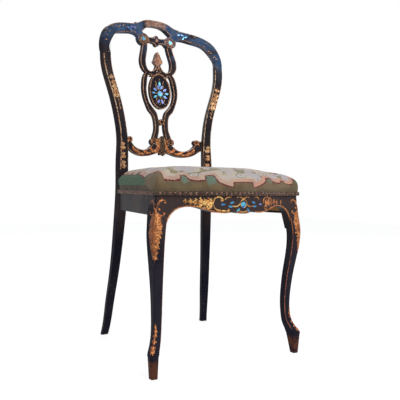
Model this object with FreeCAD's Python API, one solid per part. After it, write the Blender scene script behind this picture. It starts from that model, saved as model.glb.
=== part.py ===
import FreeCAD, Part
import math
import os

from FreeCAD import Vector

os.makedirs("parts", exist_ok=True)

# A lacquered side chair. Seen from the front, X is to the right, Y to the back and Z up.
# All lengths are in millimetres and all angles in degrees.
# A value whose name ends in share or shares is a part of the size that it follows.

# Seat frame in plan
seat_half_width = 192.0
seat_front = 206.0
seat_bow = 42.0
bow_turn_share = 0.55
seat_rear_half_width = 138.0
seat_rear = 126.0
side_bulge = 3.0
corner_round = 5.5
rear_corner_round = 6.0

# Seat rails
rail_top = 405.0
side_rail_bottom = 340.0
rear_rail_bottom = 350.0
front_rail_thickness = 25.0
side_rail_thickness = 22.0
rear_rail_thickness = 20.0
apron_low = 344.5
apron_arch = 359.0
apron_knee = 314.0
apron_knee_half = 171.0
tenon_length = 18.0
tenon_thickness = 8.0
tenon_height = 34.0

# Front legs
leg_block_width = 32.0
leg_block_depth = 38.0
leg_knee_width = 27.0
leg_knee_depth = 29.0
leg_ankle_width = 18.0
leg_round = 7.0
leg_edge_round = 2.5
leg_sway = 9.0
leg_sway_forward = 15.6
ankle_out = 0.5
ankle_back = 4.5
knee_lean_share = -0.93
knee_height = 292.0
toe_height = 51.0
toe_width = 19.5
toe_throw = 17.5
toe_forward = 21.0
heel_reach = 8.0
foot_width = 15.0
toe_lip = 1.0

# Rear posts
post_top = 752.0
post_width = 25.0
post_depth = 26.0
post_round = 3.5
foot_out = 157.0
foot_back = 169.5
post_corner = 5.0
seat_post_x = 131.5
seat_post_y = 118.0
shoulder_x = 174.6
shoulder_y = 133.0

# The curved back: a raked surface, hollow towards the sitter
back_ref_z = 650.0
back_ref_y = 155.0
rake_slope_share = 0.135
rake_radius = 2940.0
back_radius = 365.0
back_low = 440.0
back_high = 905.0
back_half = 210.0

# Crest rail
crest_depth = 21.0
crest_width = 29.0
crest_apex = 878.7
arch_width = 16.8
arm_end_x = 65.0
arm_end_z = 845.5
scroll_x = 42.5
scroll_z = 818.5
scroll_radius = 17.0
knob_x = 58.5
knob_z = 861.5
knob_radius = 6.5
groove_width = 2.2
groove_depth = 1.4
crest_round = 3.5

# Splat and lower rail
splat_depth = 15.0
splat_set_back = 1.5
splat_half = 56.5
splat_low = 531.0
splat_high = 806.0
strap_width = 16.0
bar_half = 27.0
bar_width = 17.5
lobe_radius = 6.6
lobe_reach = 9.2
rosette_height = 15.0
rosette_width = 12.0
rosette_rise = 1.5
boss_z = 583.0
boss_radius = 8.6
boss_rise = 2.0
leaf_low = 737.0
leaf_high = 786.0
leaf_half = 14.5
leaf_rise = 2.0
web_radius = 6.0
plaque_z = 670.5
plaque_half_width = 33.0
plaque_half_height = 50.5
plaque_depth = 11.0
plaque_rise = 1.0
collar_width = 7.0
collar_top_share = 0.83
collar_low_share = 0.78
bead_width = 3.0
lower_rail_half = 121.0
lower_rail_low = 485.0
lower_rail_high = 537.0
curl_x = 26.6
curl_z = 526.0
curl_radius = 9.7
end_curl_x = 104.0
end_curl_z = 528.5
end_curl_radius = 8.0
shell_low = 487.0
shell_high = 544.0
shell_half = 9.5
shell_rise = 1.5
shell_let_in = 3.0

# Dowels, blocks and screws
dowel_radius = 4.0
dowel_length = 30.0
pin_radius = 2.0
pin_length = 12.0
block_leg = 58.0
block_height = 32.0
block_drop = 12.0
screw_radius = 2.2
screw_head_radius = 4.4
screw_head = 2.6
screw_length = 34.0

# Inlay
slip_thickness = 0.8
slip_proud = 0.2
plaque_rose_radius = 7.5
crest_slip_length = 10.0
crest_slip_width = 4.0
apron_jewel_radius = 6.5
apron_slip_length = 11.0
apron_slip_width = 4.2

# Upholstery
web_width = 50.0
web_thickness = 1.6
tack_radius = 3.4
tack_head = 1.0
hessian_thickness = 1.2
hessian_inset = 6.0
cover_thickness = 2.2
cover_gap = 0.3
hem_height = 383.0
crown_height = 446.5
crown_run = 120.0
crown_turn = 81.0
crown_start_share = 0.44
crown_swell_share = 0.012
crown_round_share = 0.12
crown_fullness = 1.2
gimp_width = 9.0
gimp_thickness = 0.9
gimp_drop = 0.5
nail_radius = 4.7
nail_sphere = 5.3
nail_pitch = 11.25
post_gap = 0.3

# The overrun of a cut
overrun = 5.0

X_AXIS = Vector(1, 0, 0)
Y_AXIS = Vector(0, 1, 0)
Z_AXIS = Vector(0, 0, 1)
ORIGIN = Vector(0, 0, 0)


# General helpers

def mirrored(shape):
    return shape.mirror(ORIGIN, X_AXIS)


def both_sides(shape):
    return [shape, mirrored(shape)]


def fuse_all(shapes):
    first = shapes[0]
    rest = shapes[1:]
    if not rest:
        return first
    return first.fuse(rest).removeSplitter()


def largest(shape):
    return max(shape.Solids, key=lambda solid: solid.Volume)


def between(a, b, share):
    return a + (b - a) * share


def rounded_quad(corners, radii):
    """Closed wire through four corners, each rounded by its own radius."""
    edges = []
    count = len(corners)
    starts = []
    ends = []
    for i in range(count):
        before = corners[i - 1] - corners[i]
        after = corners[(i + 1) % count] - corners[i]
        room = min(before.Length, after.Length) * 0.45
        reach = min(radii[i], room)
        before.normalize()
        after.normalize()
        starts.append(corners[i] + before * reach)
        ends.append(corners[i] + after * reach)
    for i in range(count):
        chord = between(starts[i], ends[i], 0.5)
        middle = between(corners[i], chord, 0.586)
        edges.append(Part.Arc(starts[i], middle, ends[i]).toShape())
        edges.append(Part.LineSegment(ends[i], starts[(i + 1) % count]).toShape())
    return Part.Wire(edges)


def loft(wires, ruled=False):
    solid = Part.makeLoft(wires, True, ruled)
    if solid.Volume < 0:
        solid.reverse()
    return solid


def dowel(point, direction, radius, length):
    """Cylinder centred on point, along direction."""
    axis = Vector(direction)
    axis.normalize()
    return Part.makeCylinder(radius, length, point - axis * (length / 2), axis)


# The curved surface of the back

def back_front_y(x, z):
    rise = z - back_ref_z
    line = back_ref_y + rake_slope_share * rise + rise * rise / (2 * rake_radius)
    return line - (back_radius - math.sqrt(back_radius ** 2 - x * x))


def back_normal(x, z):
    """Unit vector from the front of the back towards its rear."""
    across = x / math.sqrt(back_radius ** 2 - x * x)
    up = rake_slope_share + (z - back_ref_z) / rake_radius
    normal = Vector(across, 1, -up)
    normal.normalize()
    return normal


def on_back(x, z, behind=0.0):
    return Vector(x, back_front_y(x, z), z) + back_normal(x, z) * behind


def slab(front, depth):
    """The space between two copies of the back's surface, front and front + depth."""
    wires = []
    levels = 5
    for i in range(levels):
        z = between(back_low, back_high, i / (levels - 1))
        y_mid = back_front_y(0, z) + front
        y_end = back_front_y(back_half, z) + front
        a = Vector(-back_half, y_end, z)
        b = Vector(0, y_mid, z)
        c = Vector(back_half, y_end, z)
        step = Vector(0, depth, 0)
        edges = [
            Part.Arc(a, b, c).toShape(),
            Part.LineSegment(c, c + step).toShape(),
            Part.Arc(c + step, b + step, a + step).toShape(),
            Part.LineSegment(a + step, a).toShape(),
        ]
        wires.append(Part.Wire(edges))
    return loft(wires)


def prism(wire):
    """A flat (x, z) outline run right through the back along Y."""
    face = Part.Face(wire)
    return face.extrude(Y_AXIS * (2 * back_ref_y))


def flat_point(point):
    return Vector(point[0], 0, point[1])


def spline(points):
    curve = Part.BSplineCurve()
    curve.interpolate([flat_point(p) for p in points])
    return curve.toShape()


def closed_prism(runs):
    """Prism of an outline made of smooth runs, each run starting where the last ended."""
    edges = []
    for run in runs:
        if len(run) == 2:
            edges.append(Part.LineSegment(flat_point(run[0]), flat_point(run[1])).toShape())
        else:
            edges.append(spline(run))
    return prism(Part.Wire(edges))


def ribbon(stations):
    """Prism of a strap, given (x, z, width) along its middle line."""
    left = []
    right = []
    count = len(stations)
    for i, (x, z, width) in enumerate(stations):
        x0, z0 = stations[max(i - 1, 0)][:2]
        x1, z1 = stations[min(i + 1, count - 1)][:2]
        length = math.hypot(x1 - x0, z1 - z0)
        nx = -(z1 - z0) / length * width / 2
        nz = (x1 - x0) / length * width / 2
        left.append((x + nx, z + nz))
        right.append((x - nx, z - nz))
    right.reverse()
    return closed_prism([left, [left[-1], right[0]], right, [right[-1], left[0]]])


def disc(x, z, radius):
    circle = Part.Circle(Vector(x, 0, z), Y_AXIS, radius)
    return prism(Part.Wire([circle.toShape()]))


def ellipse(x, z, half_width, half_height):
    curve = Part.Ellipse(Vector(x, 0, z + half_height), Vector(x + half_width, 0, z), Vector(x, 0, z))
    return prism(Part.Wire([curve.toShape()]))


def placed(shares, half_width, low, high, width=1.0):
    """Stations from shares of a half width, a height and a strap width."""
    rows = []
    for row in shares:
        x = row[0] * half_width
        z = between(low, high, row[1])
        rows.append((x, z) if len(row) == 2 else (x, z, row[2] * width))
    return rows


# Seat outline in plan

def bow_arcs(inset):
    """Points of the serpentine front, from the left corner to the right one."""
    turn = bow_turn_share * seat_half_width
    outer = seat_half_width - turn
    angle = 2 * math.atan(seat_bow / seat_half_width)
    big = turn / math.sin(angle)
    small = outer / math.sin(angle)
    centre_y = -(seat_front + seat_bow) + big
    outer_y = -seat_front - small
    big_in = big - inset
    small_in = small + inset

    def middle(a):
        return Vector(big_in * math.sin(a), centre_y - big_in * math.cos(a), 0)

    def end(a):
        return Vector(seat_half_width - small_in * math.sin(a), outer_y + small_in * math.cos(a), 0)

    return middle, end, angle, small_in


def plan_wire(z, inset, round_more=0.0):
    """The seat's outline at a height, drawn in by inset."""
    middle, end, angle, small_in = bow_arcs(inset)
    room = small_in * math.sin(angle) - inset
    round_front = min(corner_round + round_more, room * 0.8)
    round_rear = rear_corner_round + round_more
    corner = Vector(seat_half_width - inset, end(math.asin(inset / small_in)).y, 0)
    rear = Vector(seat_rear_half_width - inset, seat_rear - inset, 0)
    last = math.asin((inset + round_front) / small_in)
    front_end = end(last)
    side = rear - corner
    side.normalize()
    out = Vector(side.y, -side.x, 0)
    side_start = corner + side * round_front
    side_end = rear - side * round_rear
    side_mid = between(side_start, side_end, 0.5) + out * side_bulge
    rear_start = rear - X_AXIS * round_rear

    def flip(v):
        return Vector(-v.x, v.y, v.z)

    def corner_arc(a, tip, b):
        return a, between(tip, between(a, b, 0.5), 0.586), b

    turn = end(angle)
    half = [
        (turn, end(between(angle, last, 0.5)), front_end),
        corner_arc(front_end, corner, side_start),
        (side_start, side_mid, side_end),
        corner_arc(side_end, rear, rear_start),
    ]
    edges = [Part.Arc(flip(turn), middle(0), turn).toShape()]
    for a, b, c in half:
        edges.append(Part.Arc(a, b, c).toShape())
    edges.append(Part.LineSegment(rear_start, flip(rear_start)).toShape())
    for a, b, c in reversed(half):
        edges.append(Part.Arc(flip(c), flip(b), flip(a)).toShape())
    wire = Part.Wire(edges)
    wire.translate(Z_AXIS * z)
    return wire


def plan_prism(low, high, inset):
    face = Part.Face(plan_wire(low, inset))
    return face.extrude(Z_AXIS * (high - low))


def front_curve_point(x, outward):
    """Point and outward normal of the serpentine front at a place across."""
    middle, end, angle, small_in = bow_arcs(-outward)
    turn = end(angle).x
    if abs(x) <= turn:
        a = math.asin(x / middle(math.pi / 2).x)
        point = middle(a)
        normal = Vector(math.sin(a), -math.cos(a), 0)
        return point, normal
    a = math.asin((seat_half_width - abs(x)) / small_in)
    point = end(a)
    normal = Vector(math.sin(a), -math.cos(a), 0)
    if x < 0:
        point.x = -point.x
        normal.x = -normal.x
    return point, normal


# Rear posts: leg and stile in one piece, in plan sections from foot to shoulder.
# Each row: height share, share from seat to foot or shoulder, width share,
# depth share, turn in degrees; on the foot also the outer front corner's share.
post_foot_shares = (
    (0.0, 1.0, 0.72, 0.60, 4.0, 0.45),
    (0.11, 0.70, 0.80, 0.67, 5.0, 0.5),
    (0.22, 0.44, 0.85, 0.76, 7.0, 0.5),
    (0.33, 0.24, 0.92, 0.85, 9.0, 0.4),
    (0.44, 0.09, 1.0, 0.93, 11.0, 0.2),
)
post_back_shares = (
    (0.545, 0.0, 0.0, 1.04, 1.0, 13.0),
    (0.625, -0.005, 0.05, 1.04, 1.0, 14.0),
    (0.705, -0.02, 0.20, 0.92, 0.96, 15.0),
    (0.76, 0.09, 0.36, 0.89, 0.94, 16.0),
    (0.81, 0.27, 0.42, 0.91, 0.92, 16.5),
    (0.865, 0.55, 0.40, 0.93, 0.88, 17.0),
    (0.918, 0.84, 0.53, 0.94, 0.85, 16.0),
    (0.965, 0.985, 0.80, 0.95, 0.83, 15.0),
    (1.0, 1.0, 1.0, 0.95, 0.80, 15.0),
)


def post_section(x, y, z, width, depth, turn, corner=0.0, grow=0.0):
    """Rounded section; the front corners come first, the inner one leading."""
    a = math.radians(turn)
    across = Vector(math.cos(a), -math.sin(a), 0)
    back = Vector(math.sin(a), math.cos(a), 0)
    half = width / 2 + grow
    deep = depth / 2 + grow
    middle = Vector(x, y, z)
    corners = [
        middle - across * half - back * deep,
        middle + across * (half + corner) - back * deep,
        middle + across * half + back * deep,
        middle - across * half + back * deep,
    ]
    return rounded_quad(corners, [post_round] * 4)


def post_rows():
    rows = []
    for z, out, width, depth, turn, corner in post_foot_shares:
        x = between(seat_post_x, foot_out, out)
        y = between(seat_post_y, foot_back, out)
        rows.append((x, y, z * post_top, width * post_width, depth * post_depth, turn,
                     corner * post_corner))
    for z, out, behind, width, depth, turn in post_back_shares:
        x = between(seat_post_x, shoulder_x, out)
        y = between(seat_post_y, shoulder_y, behind)
        rows.append((x, y, z * post_top, width * post_width, depth * post_depth, turn, 0.0))
    return rows


def rear_post(grow=0.0):
    return loft([post_section(*row, grow) for row in post_rows()])


# Crest rail: two swept arms, the arch, the scroll ends and their knobs.
# Each row holds the outer and the inner edge: x share of the shoulder,
# z share from the shoulder to the apex.
crest_arm_shares = (
    ((1.038, 0.26), (0.910, 0.185)),
    ((0.964, 0.512), (0.852, 0.345)),
    ((0.846, 0.668), (0.762, 0.498)),
    ((0.695, 0.762), (0.647, 0.565)),
    ((0.520, 0.815), (0.505, 0.615)),
)


def crest_arm():
    wires = [post_section(*post_rows()[-1])]
    for outer, inner in crest_arm_shares:
        out = (outer[0] * shoulder_x, between(post_top, crest_apex, outer[1]))
        into = (inner[0] * shoulder_x, between(post_top, crest_apex, inner[1]))
        wires.append(arm_section(out, into))
    top = (arm_end_x, arm_end_z + crest_width / 2)
    low = (arm_end_x, arm_end_z - crest_width / 2)
    wires.append(arm_section(top, low))
    return loft(wires)


def arm_section(outer, inner):
    middle = back_normal((outer[0] + inner[0]) / 2, (outer[1] + inner[1]) / 2)
    a = Vector(inner[0], back_front_y(*inner), inner[1])
    b = Vector(outer[0], back_front_y(*outer), outer[1])
    step = middle * (crest_depth * middle.y)
    return rounded_quad([a, b, b + step, a + step], [crest_round] * 4)


# The arch over the two scrolls, from the right arm's end to the middle
arch_shares = (
    (1.0, 0.0, 1.0),
    (0.80, 0.22, 0.74),
    (0.56, 0.68, 0.35),
    (0.28, 0.95, 0.06),
    (0.0, 1.0, 0.0),
)
hook_shares = ((1.02, 0.0, 1.0), (0.45, 0.52, 0.72), (-0.05, 0.85, 0.62))


def crest_rail():
    slab_body = slab(0.0, crest_depth)
    middle_z = crest_apex - arch_width / 2
    stations = []
    for x, rise, wide in arch_shares:
        width = between(arch_width, crest_width, wide)
        stations.append((x * arm_end_x, between(arm_end_z, middle_z, rise), width))
    other = [(-x, z, width) for x, z, width in stations[:-1]]
    arch = ribbon(stations + other[::-1])
    hook = []
    for x, drop, wide in hook_shares:
        hook.append((between(scroll_x, arm_end_x, x), between(arm_end_z, scroll_z, drop),
                     wide * crest_width))
    pieces = [arch] + both_sides(ribbon(hook)) + both_sides(disc(scroll_x, scroll_z, scroll_radius))
    centre = fuse_all(pieces).common(slab_body)
    ring = disc(scroll_x, scroll_z, scroll_radius * 0.66)
    ring = ring.cut(disc(scroll_x, scroll_z, scroll_radius * 0.66 - groove_width))
    ring = ring.common(slab(-overrun, overrun + groove_depth))
    centre = centre.cut(both_sides(ring))
    knob = Part.makeSphere(knob_radius, on_back(knob_x, knob_z, crest_depth / 2))
    return fuse_all([centre] + both_sides(crest_arm()) + both_sides(knob))


# Splat: straps of the lyre, of the loop round the plaque, and of the foot.
# Each row: share of the half width, share of the height, share of the strap width.
lyre_shares = (
    (0.68, 1.0, 0.92),
    (0.73, 0.931, 0.97),
    (0.81, 0.866, 1.0),
    (0.856, 0.807, 1.02),
    (0.812, 0.752, 0.95),
    (0.66, 0.709, 0.72),
    (0.47, 0.695, 0.58),
    (0.28, 0.705, 0.53),
    (0.13, 0.735, 0.50),
    (0.05, 0.775, 0.48),
)
loop_shares = (
    (0.55, 0.700, 0.60),
    (0.73, 0.662, 0.66),
    (0.82, 0.590, 0.76),
    (0.86, 0.523, 0.69),
    (0.845, 0.468, 0.66),
    (0.785, 0.413, 0.63),
    (0.68, 0.361, 0.70),
    (0.53, 0.313, 0.93),
    (0.37, 0.275, 0.88),
    (0.285, 0.228, 0.78),
    (0.250, 0.160, 0.76),
    (0.265, 0.100, 0.76),
    (0.345, 0.040, 0.86),
    (0.40, -0.01, 0.90),
)


def splat_slab():
    return slab(splat_set_back, splat_depth)


def splat_frame(crest, lower_rail, plaque, bar, boss, shell):
    lyre = ribbon(placed(lyre_shares, splat_half, splat_low, splat_high, strap_width))
    loop = ribbon(placed(loop_shares, splat_half, splat_low, splat_high, strap_width))
    web = disc(0.0, leaf_low + web_radius * 0.8, web_radius)
    pieces = both_sides(lyre) + both_sides(loop) + [web, plaque_collar()]
    body = fuse_all(pieces).common(splat_slab())
    for other in (crest, lower_rail, plaque, bar, boss, shell):
        body = body.cut(other)
    return largest(body)


def plaque_collar():
    """Where the straps close on the plaque, over its top and under its foot."""
    oval = ellipse(0.0, plaque_z, plaque_half_width + collar_width, plaque_half_height + collar_width)
    low = plaque_z - plaque_half_height * collar_low_share
    high = plaque_z + plaque_half_height * collar_top_share
    width = 2 * (plaque_half_width + collar_width)
    gap = Part.makeBox(width, 2 * back_ref_y, high - low, Vector(-width / 2, 0, low))
    return oval.cut(gap)


bar_shares = ((1.0, 0.0, 1.06), (0.52, 0.03, 0.84), (0.22, 0.0, 0.95), (0.0, 0.0, 1.0))


def splat_top_bar(crest):
    right = [(x * bar_half, scroll_z + z * bar_width, wide * bar_width) for x, z, wide in bar_shares]
    left = [(-x, z, wide) for x, z, wide in right[:-1]]
    lobes = [disc(0.0, scroll_z + side * lobe_reach, lobe_radius) for side in (1, -1)]
    body = fuse_all([ribbon(right + left[::-1])] + lobes).common(splat_slab())
    return largest(body.cut(crest))


rosette_shares = ((0.0, 1.0), (0.42, 0.42), (1.0, 0.0), (0.42, -0.42), (0.0, -1.0))


def splat_rosette():
    """Lozenge with hollow sides, standing on the front of the bar."""
    right = [(x * rosette_width / 2, scroll_z + z * rosette_height / 2) for x, z in rosette_shares]
    left = [(-x, z) for x, z in right]
    runs = [right[:3], right[2:], left[4:1:-1], left[2::-1]]
    return closed_prism(runs).common(slab(splat_set_back - rosette_rise, rosette_rise))


def splat_boss():
    body = disc(0.0, boss_z, boss_radius)
    body = body.common(slab(splat_set_back - boss_rise, splat_depth + boss_rise))
    eye = disc(0.0, boss_z, boss_radius * 0.42).common(slab(-overrun, overrun + groove_depth))
    return body.cut(eye)


leaf_shares = ((0.0, 1.0), (0.52, 0.70), (0.86, 0.46), (1.0, 0.40))
leaf_base_shares = ((1.0, 0.40), (0.70, 0.28), (0.42, 0.19), (0.14, 0.0))


def splat_leaf():
    right = placed(leaf_shares, leaf_half, leaf_low, leaf_high)
    base = placed(leaf_base_shares, leaf_half, leaf_low, leaf_high)
    left = [(-x, z) for x, z in right]
    base_left = [(-x, z) for x, z in base]
    runs = [right, base, [base[-1], base_left[-1]], base_left[::-1], left[::-1]]
    return closed_prism(runs).common(slab(splat_set_back - leaf_rise, splat_depth + leaf_rise))


def splat_medallion():
    body = ellipse(0.0, plaque_z, plaque_half_width, plaque_half_height)
    body = body.common(slab(splat_set_back, plaque_depth))
    bead = ellipse(0.0, plaque_z, plaque_half_width, plaque_half_height)
    bead = bead.cut(ellipse(0.0, plaque_z, plaque_half_width - bead_width,
                            plaque_half_height - bead_width))
    bead = bead.common(slab(splat_set_back - plaque_rise, plaque_rise + groove_depth))
    return body.fuse(bead).removeSplitter()


# Lower back rail, right half: upper edge from the middle, end, lower edge back
lower_upper_shares = (
    (0.065, 0.72), (0.13, 0.66), (0.25, 0.62), (0.35, 0.44), (0.46, 0.345),
    (0.57, 0.34), (0.67, 0.405), (0.755, 0.52), (0.81, 0.66), (0.855, 0.80),
    (0.90, 0.90), (0.95, 0.93), (1.0, 0.92),
)
lower_under_shares = (
    (1.0, 0.42), (0.92, 0.35), (0.81, 0.18), (0.68, 0.05), (0.53, 0.0),
    (0.44, 0.01), (0.33, 0.05), (0.20, 0.15), (0.065, 0.22),
)
lower_tongue_shares = ((0.065, 0.10), (0.0, 0.10), (0.0, 1.08), (0.065, 1.0))
eye_share = 0.45


def lower_back_rail(post, shell):
    upper = placed(lower_upper_shares, lower_rail_half, lower_rail_low, lower_rail_high)
    under = placed(lower_under_shares, lower_rail_half, lower_rail_low, lower_rail_high)
    back = placed(lower_tongue_shares, lower_rail_half, lower_rail_low, lower_rail_high)
    runs = [upper, [upper[-1], under[0]], under, [under[-1], back[0]], back[:2], back[1:3], back[2:],
            [back[-1], upper[0]]]
    half = closed_prism(runs)
    pieces = both_sides(half) + both_sides(disc(curl_x, curl_z, curl_radius))
    pieces += both_sides(disc(end_curl_x, end_curl_z, end_curl_radius))
    body = fuse_all(pieces).common(splat_slab())
    eyes = disc(curl_x, curl_z, curl_radius * eye_share)
    eyes = eyes.fuse(disc(end_curl_x, end_curl_z, end_curl_radius * eye_share))
    eyes = eyes.common(slab(-overrun, overrun + groove_depth + splat_set_back))
    body = body.cut(both_sides(eyes) + both_sides(post) + [shell])
    tenons = both_sides(lower_tenon())
    return fuse_all([largest(body)] + tenons)


def lower_tenon():
    """Tongue from the lower rail's end into the post."""
    z = between(lower_rail_low, lower_rail_high, 0.62)
    middle = on_back(lower_rail_half, z, splat_set_back + splat_depth / 2)
    high = tenon_height * 0.5
    deep = tenon_thickness * 0.75
    return Part.makeBox(tenon_length, deep, high,
                        middle - Vector(tenon_length * 0.7, deep / 2, high / 2))


def rail_shell():
    outline = []
    low_z = shell_low
    tall = shell_high - shell_low
    shares = ((0.0, 0.0), (0.55, 0.12), (0.92, 0.42), (1.0, 0.70), (0.70, 0.93), (0.0, 1.0))
    for x, z in shares:
        outline.append((x * shell_half, low_z + z * tall))
    left = [(-x, z) for x, z in outline]
    body = closed_prism([outline, left[::-1]])
    return body.common(slab(splat_set_back - shell_rise, shell_rise + shell_let_in))


# Seat rails

apron_shares = (
    (0.0, 0.0), (0.08, 0.08), (0.135, 0.36),
)
apron_scroll_shares = (
    (0.135, 0.36), (0.20, 0.14), (0.29, 0.08), (0.40, 0.22), (0.52, 0.64), (0.62, 0.96), (0.71, 1.0),
)
apron_corner_shares = ((0.71, 1.0), (0.82, 0.93), (0.889, 0.78), (0.936, 0.578), (0.971, 0.31),
                       (0.996, 0.02), (1.018, -0.25))


def seat_ring(thickness, low, high):
    outer = plan_prism(low, high, 0.0)
    inner = plan_prism(low - overrun, high + overrun, thickness)
    return outer.cut(inner)


def front_rail(leg):
    """Bowed rail with its scrolled lower edge and knee brackets."""
    lobe = [(x * apron_knee_half, between(apron_low, apron_arch, z)) for x, z in apron_shares]
    scroll = [(x * apron_knee_half, between(apron_low, apron_arch, z)) for x, z in apron_scroll_shares]
    corner = [(x * apron_knee_half, between(apron_knee, apron_arch, z)) for x, z in apron_corner_shares]
    knee = (seat_half_width, corner[-1][1])
    top = (seat_half_width, rail_top)
    runs = [lobe, scroll, corner, [corner[-1], knee], [knee, top], [top, (0.0, rail_top)],
            [(0.0, rail_top), lobe[0]]]
    edges = []
    for run in runs:
        if len(run) == 2:
            edges.append(Part.LineSegment(flat_point(run[0]), flat_point(run[1])).toShape())
        else:
            edges.append(spline(run))
    face = Part.Face(Part.Wire(edges))
    reach = seat_front + seat_bow + overrun
    half = face.extrude(-Y_AXIS * reach)
    ring = seat_ring(front_rail_thickness, corner[-1][1] - overrun, rail_top)
    half_width = leg_corner().x
    keep = Part.makeBox(2 * half_width, reach, rail_top,
                        Vector(-half_width, front_rail_thickness - seat_front - reach, 0))
    body = fuse_all(both_sides(half)).common(ring).common(keep)
    body = largest(body.cut(both_sides(leg)))
    return fuse_all([body] + both_sides(front_tenon()))


def leg_corner():
    """Middle of the square block at the top of the right front leg."""
    return Vector(seat_half_width - leg_block_width / 2, -seat_front + leg_block_depth / 2, 0)


def front_tenon():
    middle = leg_corner()
    z = (rail_top + apron_arch) / 2
    high = (rail_top - apron_arch) * 0.7
    x = middle.x - leg_block_width / 2 - tenon_length * 0.35
    return Part.makeBox(tenon_length, tenon_thickness, high,
                        Vector(x, middle.y - tenon_thickness, z - high / 2))


def side_direction():
    line = Vector(seat_rear_half_width - seat_half_width, seat_rear + seat_front, 0)
    line.normalize()
    return line


def side_rail(leg, post):
    line = side_direction()
    inward = Vector(-line.y, line.x, 0)
    corner = Vector(seat_half_width, -seat_front, 0)
    rear_corner = Vector(seat_rear_half_width, seat_rear, 0)
    front_end = corner + line * (leg_block_depth / 2)
    rear_end = between(corner, rear_corner, (seat_post_y + seat_front) / (seat_rear + seat_front))
    inner = inward * side_rail_thickness
    outer = -inward * (side_bulge + overrun)
    points = [front_end + inner, front_end + outer, rear_end + outer, rear_end + inner]
    keep = Part.Face(Part.makePolygon(points + [points[0]])).extrude(Z_AXIS * rail_top)
    body = plan_prism(side_rail_bottom, rail_top, 0.0).common(keep)
    body = largest(body.cut([leg, post]))
    z = (rail_top + side_rail_bottom) / 2
    high = (rail_top - side_rail_bottom) * 0.6
    inner = inner / 2
    front = corner + line * (leg_block_depth + tenon_length * 0.3) + inner
    rear_share = (seat_post_y - post_depth / 2 + seat_front) / (seat_rear + seat_front)
    rear = between(corner, rear_corner, rear_share) + inner
    tongues = [tongue(front, -line, tenon_length, high, z), tongue(rear - line * tenon_length * 0.3,
                                                                   line, tenon_length, high, z)]
    return fuse_all([body] + tongues)


def tongue(start, direction, length, high, z):
    """Rectangular tenon that runs from a point on the seat plan along a direction."""
    across = Vector(-direction.y, direction.x, 0) * (tenon_thickness / 2)
    base = Vector(start.x, start.y, z - high / 2)
    run = direction * length
    points = [base - across, base + across, base + across + run, base - across + run]
    face = Part.Face(Part.makePolygon(points + [points[0]]))
    return face.extrude(Z_AXIS * high)


def rear_rail(post):
    body = Part.makeBox(2 * seat_post_x, rear_rail_thickness, rail_top - rear_rail_bottom,
                        Vector(-seat_post_x, seat_rear - rear_rail_thickness, rear_rail_bottom))
    body = largest(body.cut(both_sides(post)))
    high = (rail_top - rear_rail_bottom) * 0.6
    z = (rail_top + rear_rail_bottom) / 2
    tenon = Part.makeBox(tenon_length, tenon_thickness, high,
                         Vector(seat_post_x - tenon_length * 0.95,
                                seat_rear - (rear_rail_thickness + tenon_thickness) / 2, z - high / 2))
    return fuse_all([body] + both_sides(tenon))


# Front legs. Each row: height share between toe and knee, sway share, width share.
leg_shares = (
    (0.0, 0.93, 0.20),
    (0.025, 0.80, 0.14),
    (0.065, 0.48, 0.05),
    (0.12, 0.20, 0.0),
    (0.20, 0.05, 0.0),
    (0.31, 0.0, 0.08),
    (0.45, 0.12, 0.20),
    (0.60, 0.36, 0.37),
    (0.75, 0.70, 0.58),
    (0.875, 0.93, 0.78),
    (1.0, 1.0, 1.0),
)


def leg_section(x, y, z, width, depth, front_round, lean=0.0, heel=0.0):
    """Section whose back corners step inwards with the seat's side as lean goes to 1."""
    step = lean * depth * (seat_half_width - seat_rear_half_width) / (seat_front + seat_rear)
    corners = [
        Vector(x - width / 2, y - depth / 2, z),
        Vector(x + width / 2, y - depth / 2, z),
        Vector(x + width / 2 - step, y + depth / 2, z),
        Vector(x - width / 2 - step - heel, y + depth / 2 + heel, z),
    ]
    return rounded_quad(corners, [leg_edge_round, front_round, leg_edge_round, leg_edge_round])


def front_leg():
    block = leg_corner()
    ankle_x = block.x + ankle_out
    ankle_y = block.y + ankle_back
    wires = []
    toe_x = ankle_x + toe_throw
    toe_y = ankle_y - toe_forward
    for i, (up, out, wide) in enumerate(leg_shares):
        z = between(toe_height, knee_height, up)
        width = between(leg_ankle_width, leg_knee_width, wide)
        if i < 5:
            x = between(ankle_x, toe_x, out)
            y = between(ankle_y, toe_y, out)
            lean, heel = 0.0, heel_reach * out
        else:
            x = between(ankle_x, ankle_x + leg_sway, out)
            y = between(ankle_y, ankle_y - leg_sway_forward, out)
            lean, heel = knee_lean_share * out, 0.0
        depth = width * between(1.0, leg_knee_depth / leg_knee_width, up)
        wires.append(leg_section(x, y, z, width, depth, leg_round * width / leg_knee_width,
                                 lean, heel))
    knee_x = ankle_x + leg_sway
    knee_y = ankle_y - leg_sway_forward
    for up, share, lean in ((0.25, 0.28, 0.80), (0.52, 0.75, 0.33)):
        z = between(knee_height, rail_top, up)
        wires.append(leg_section(between(knee_x, block.x, share), between(knee_y, block.y, share), z,
                                 between(leg_knee_width, leg_block_width, share),
                                 between(leg_knee_depth, leg_block_depth, share), leg_round,
                                 knee_lean_share * lean))
    for z in (hem_height - nail_radius, rail_top):
        wires.append(leg_section(block.x, block.y, z, leg_block_width, leg_block_depth, leg_round, 1.0))
    leg = loft(wires)
    lip = leg_section(toe_x, toe_y, toe_height, toe_width, toe_width, leg_round, 0.0, heel_reach)
    lip_low = leg_section(toe_x, toe_y, toe_height - toe_lip * 3, toe_width, toe_width, leg_round,
                          0.0, heel_reach)
    sole_top = leg_section(toe_x, toe_y, toe_height - toe_lip * 3, toe_width - toe_lip,
                           toe_width - toe_lip, leg_round, 0.0, heel_reach)
    sole = leg_section(toe_x - toe_lip * 2, toe_y + toe_lip * 2, 0.0, foot_width, foot_width,
                       leg_round * 0.6)
    return fuse_all([leg, loft([lip, lip_low], True), loft([sole_top, sole], True)])


# Corner blocks and their screws

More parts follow.
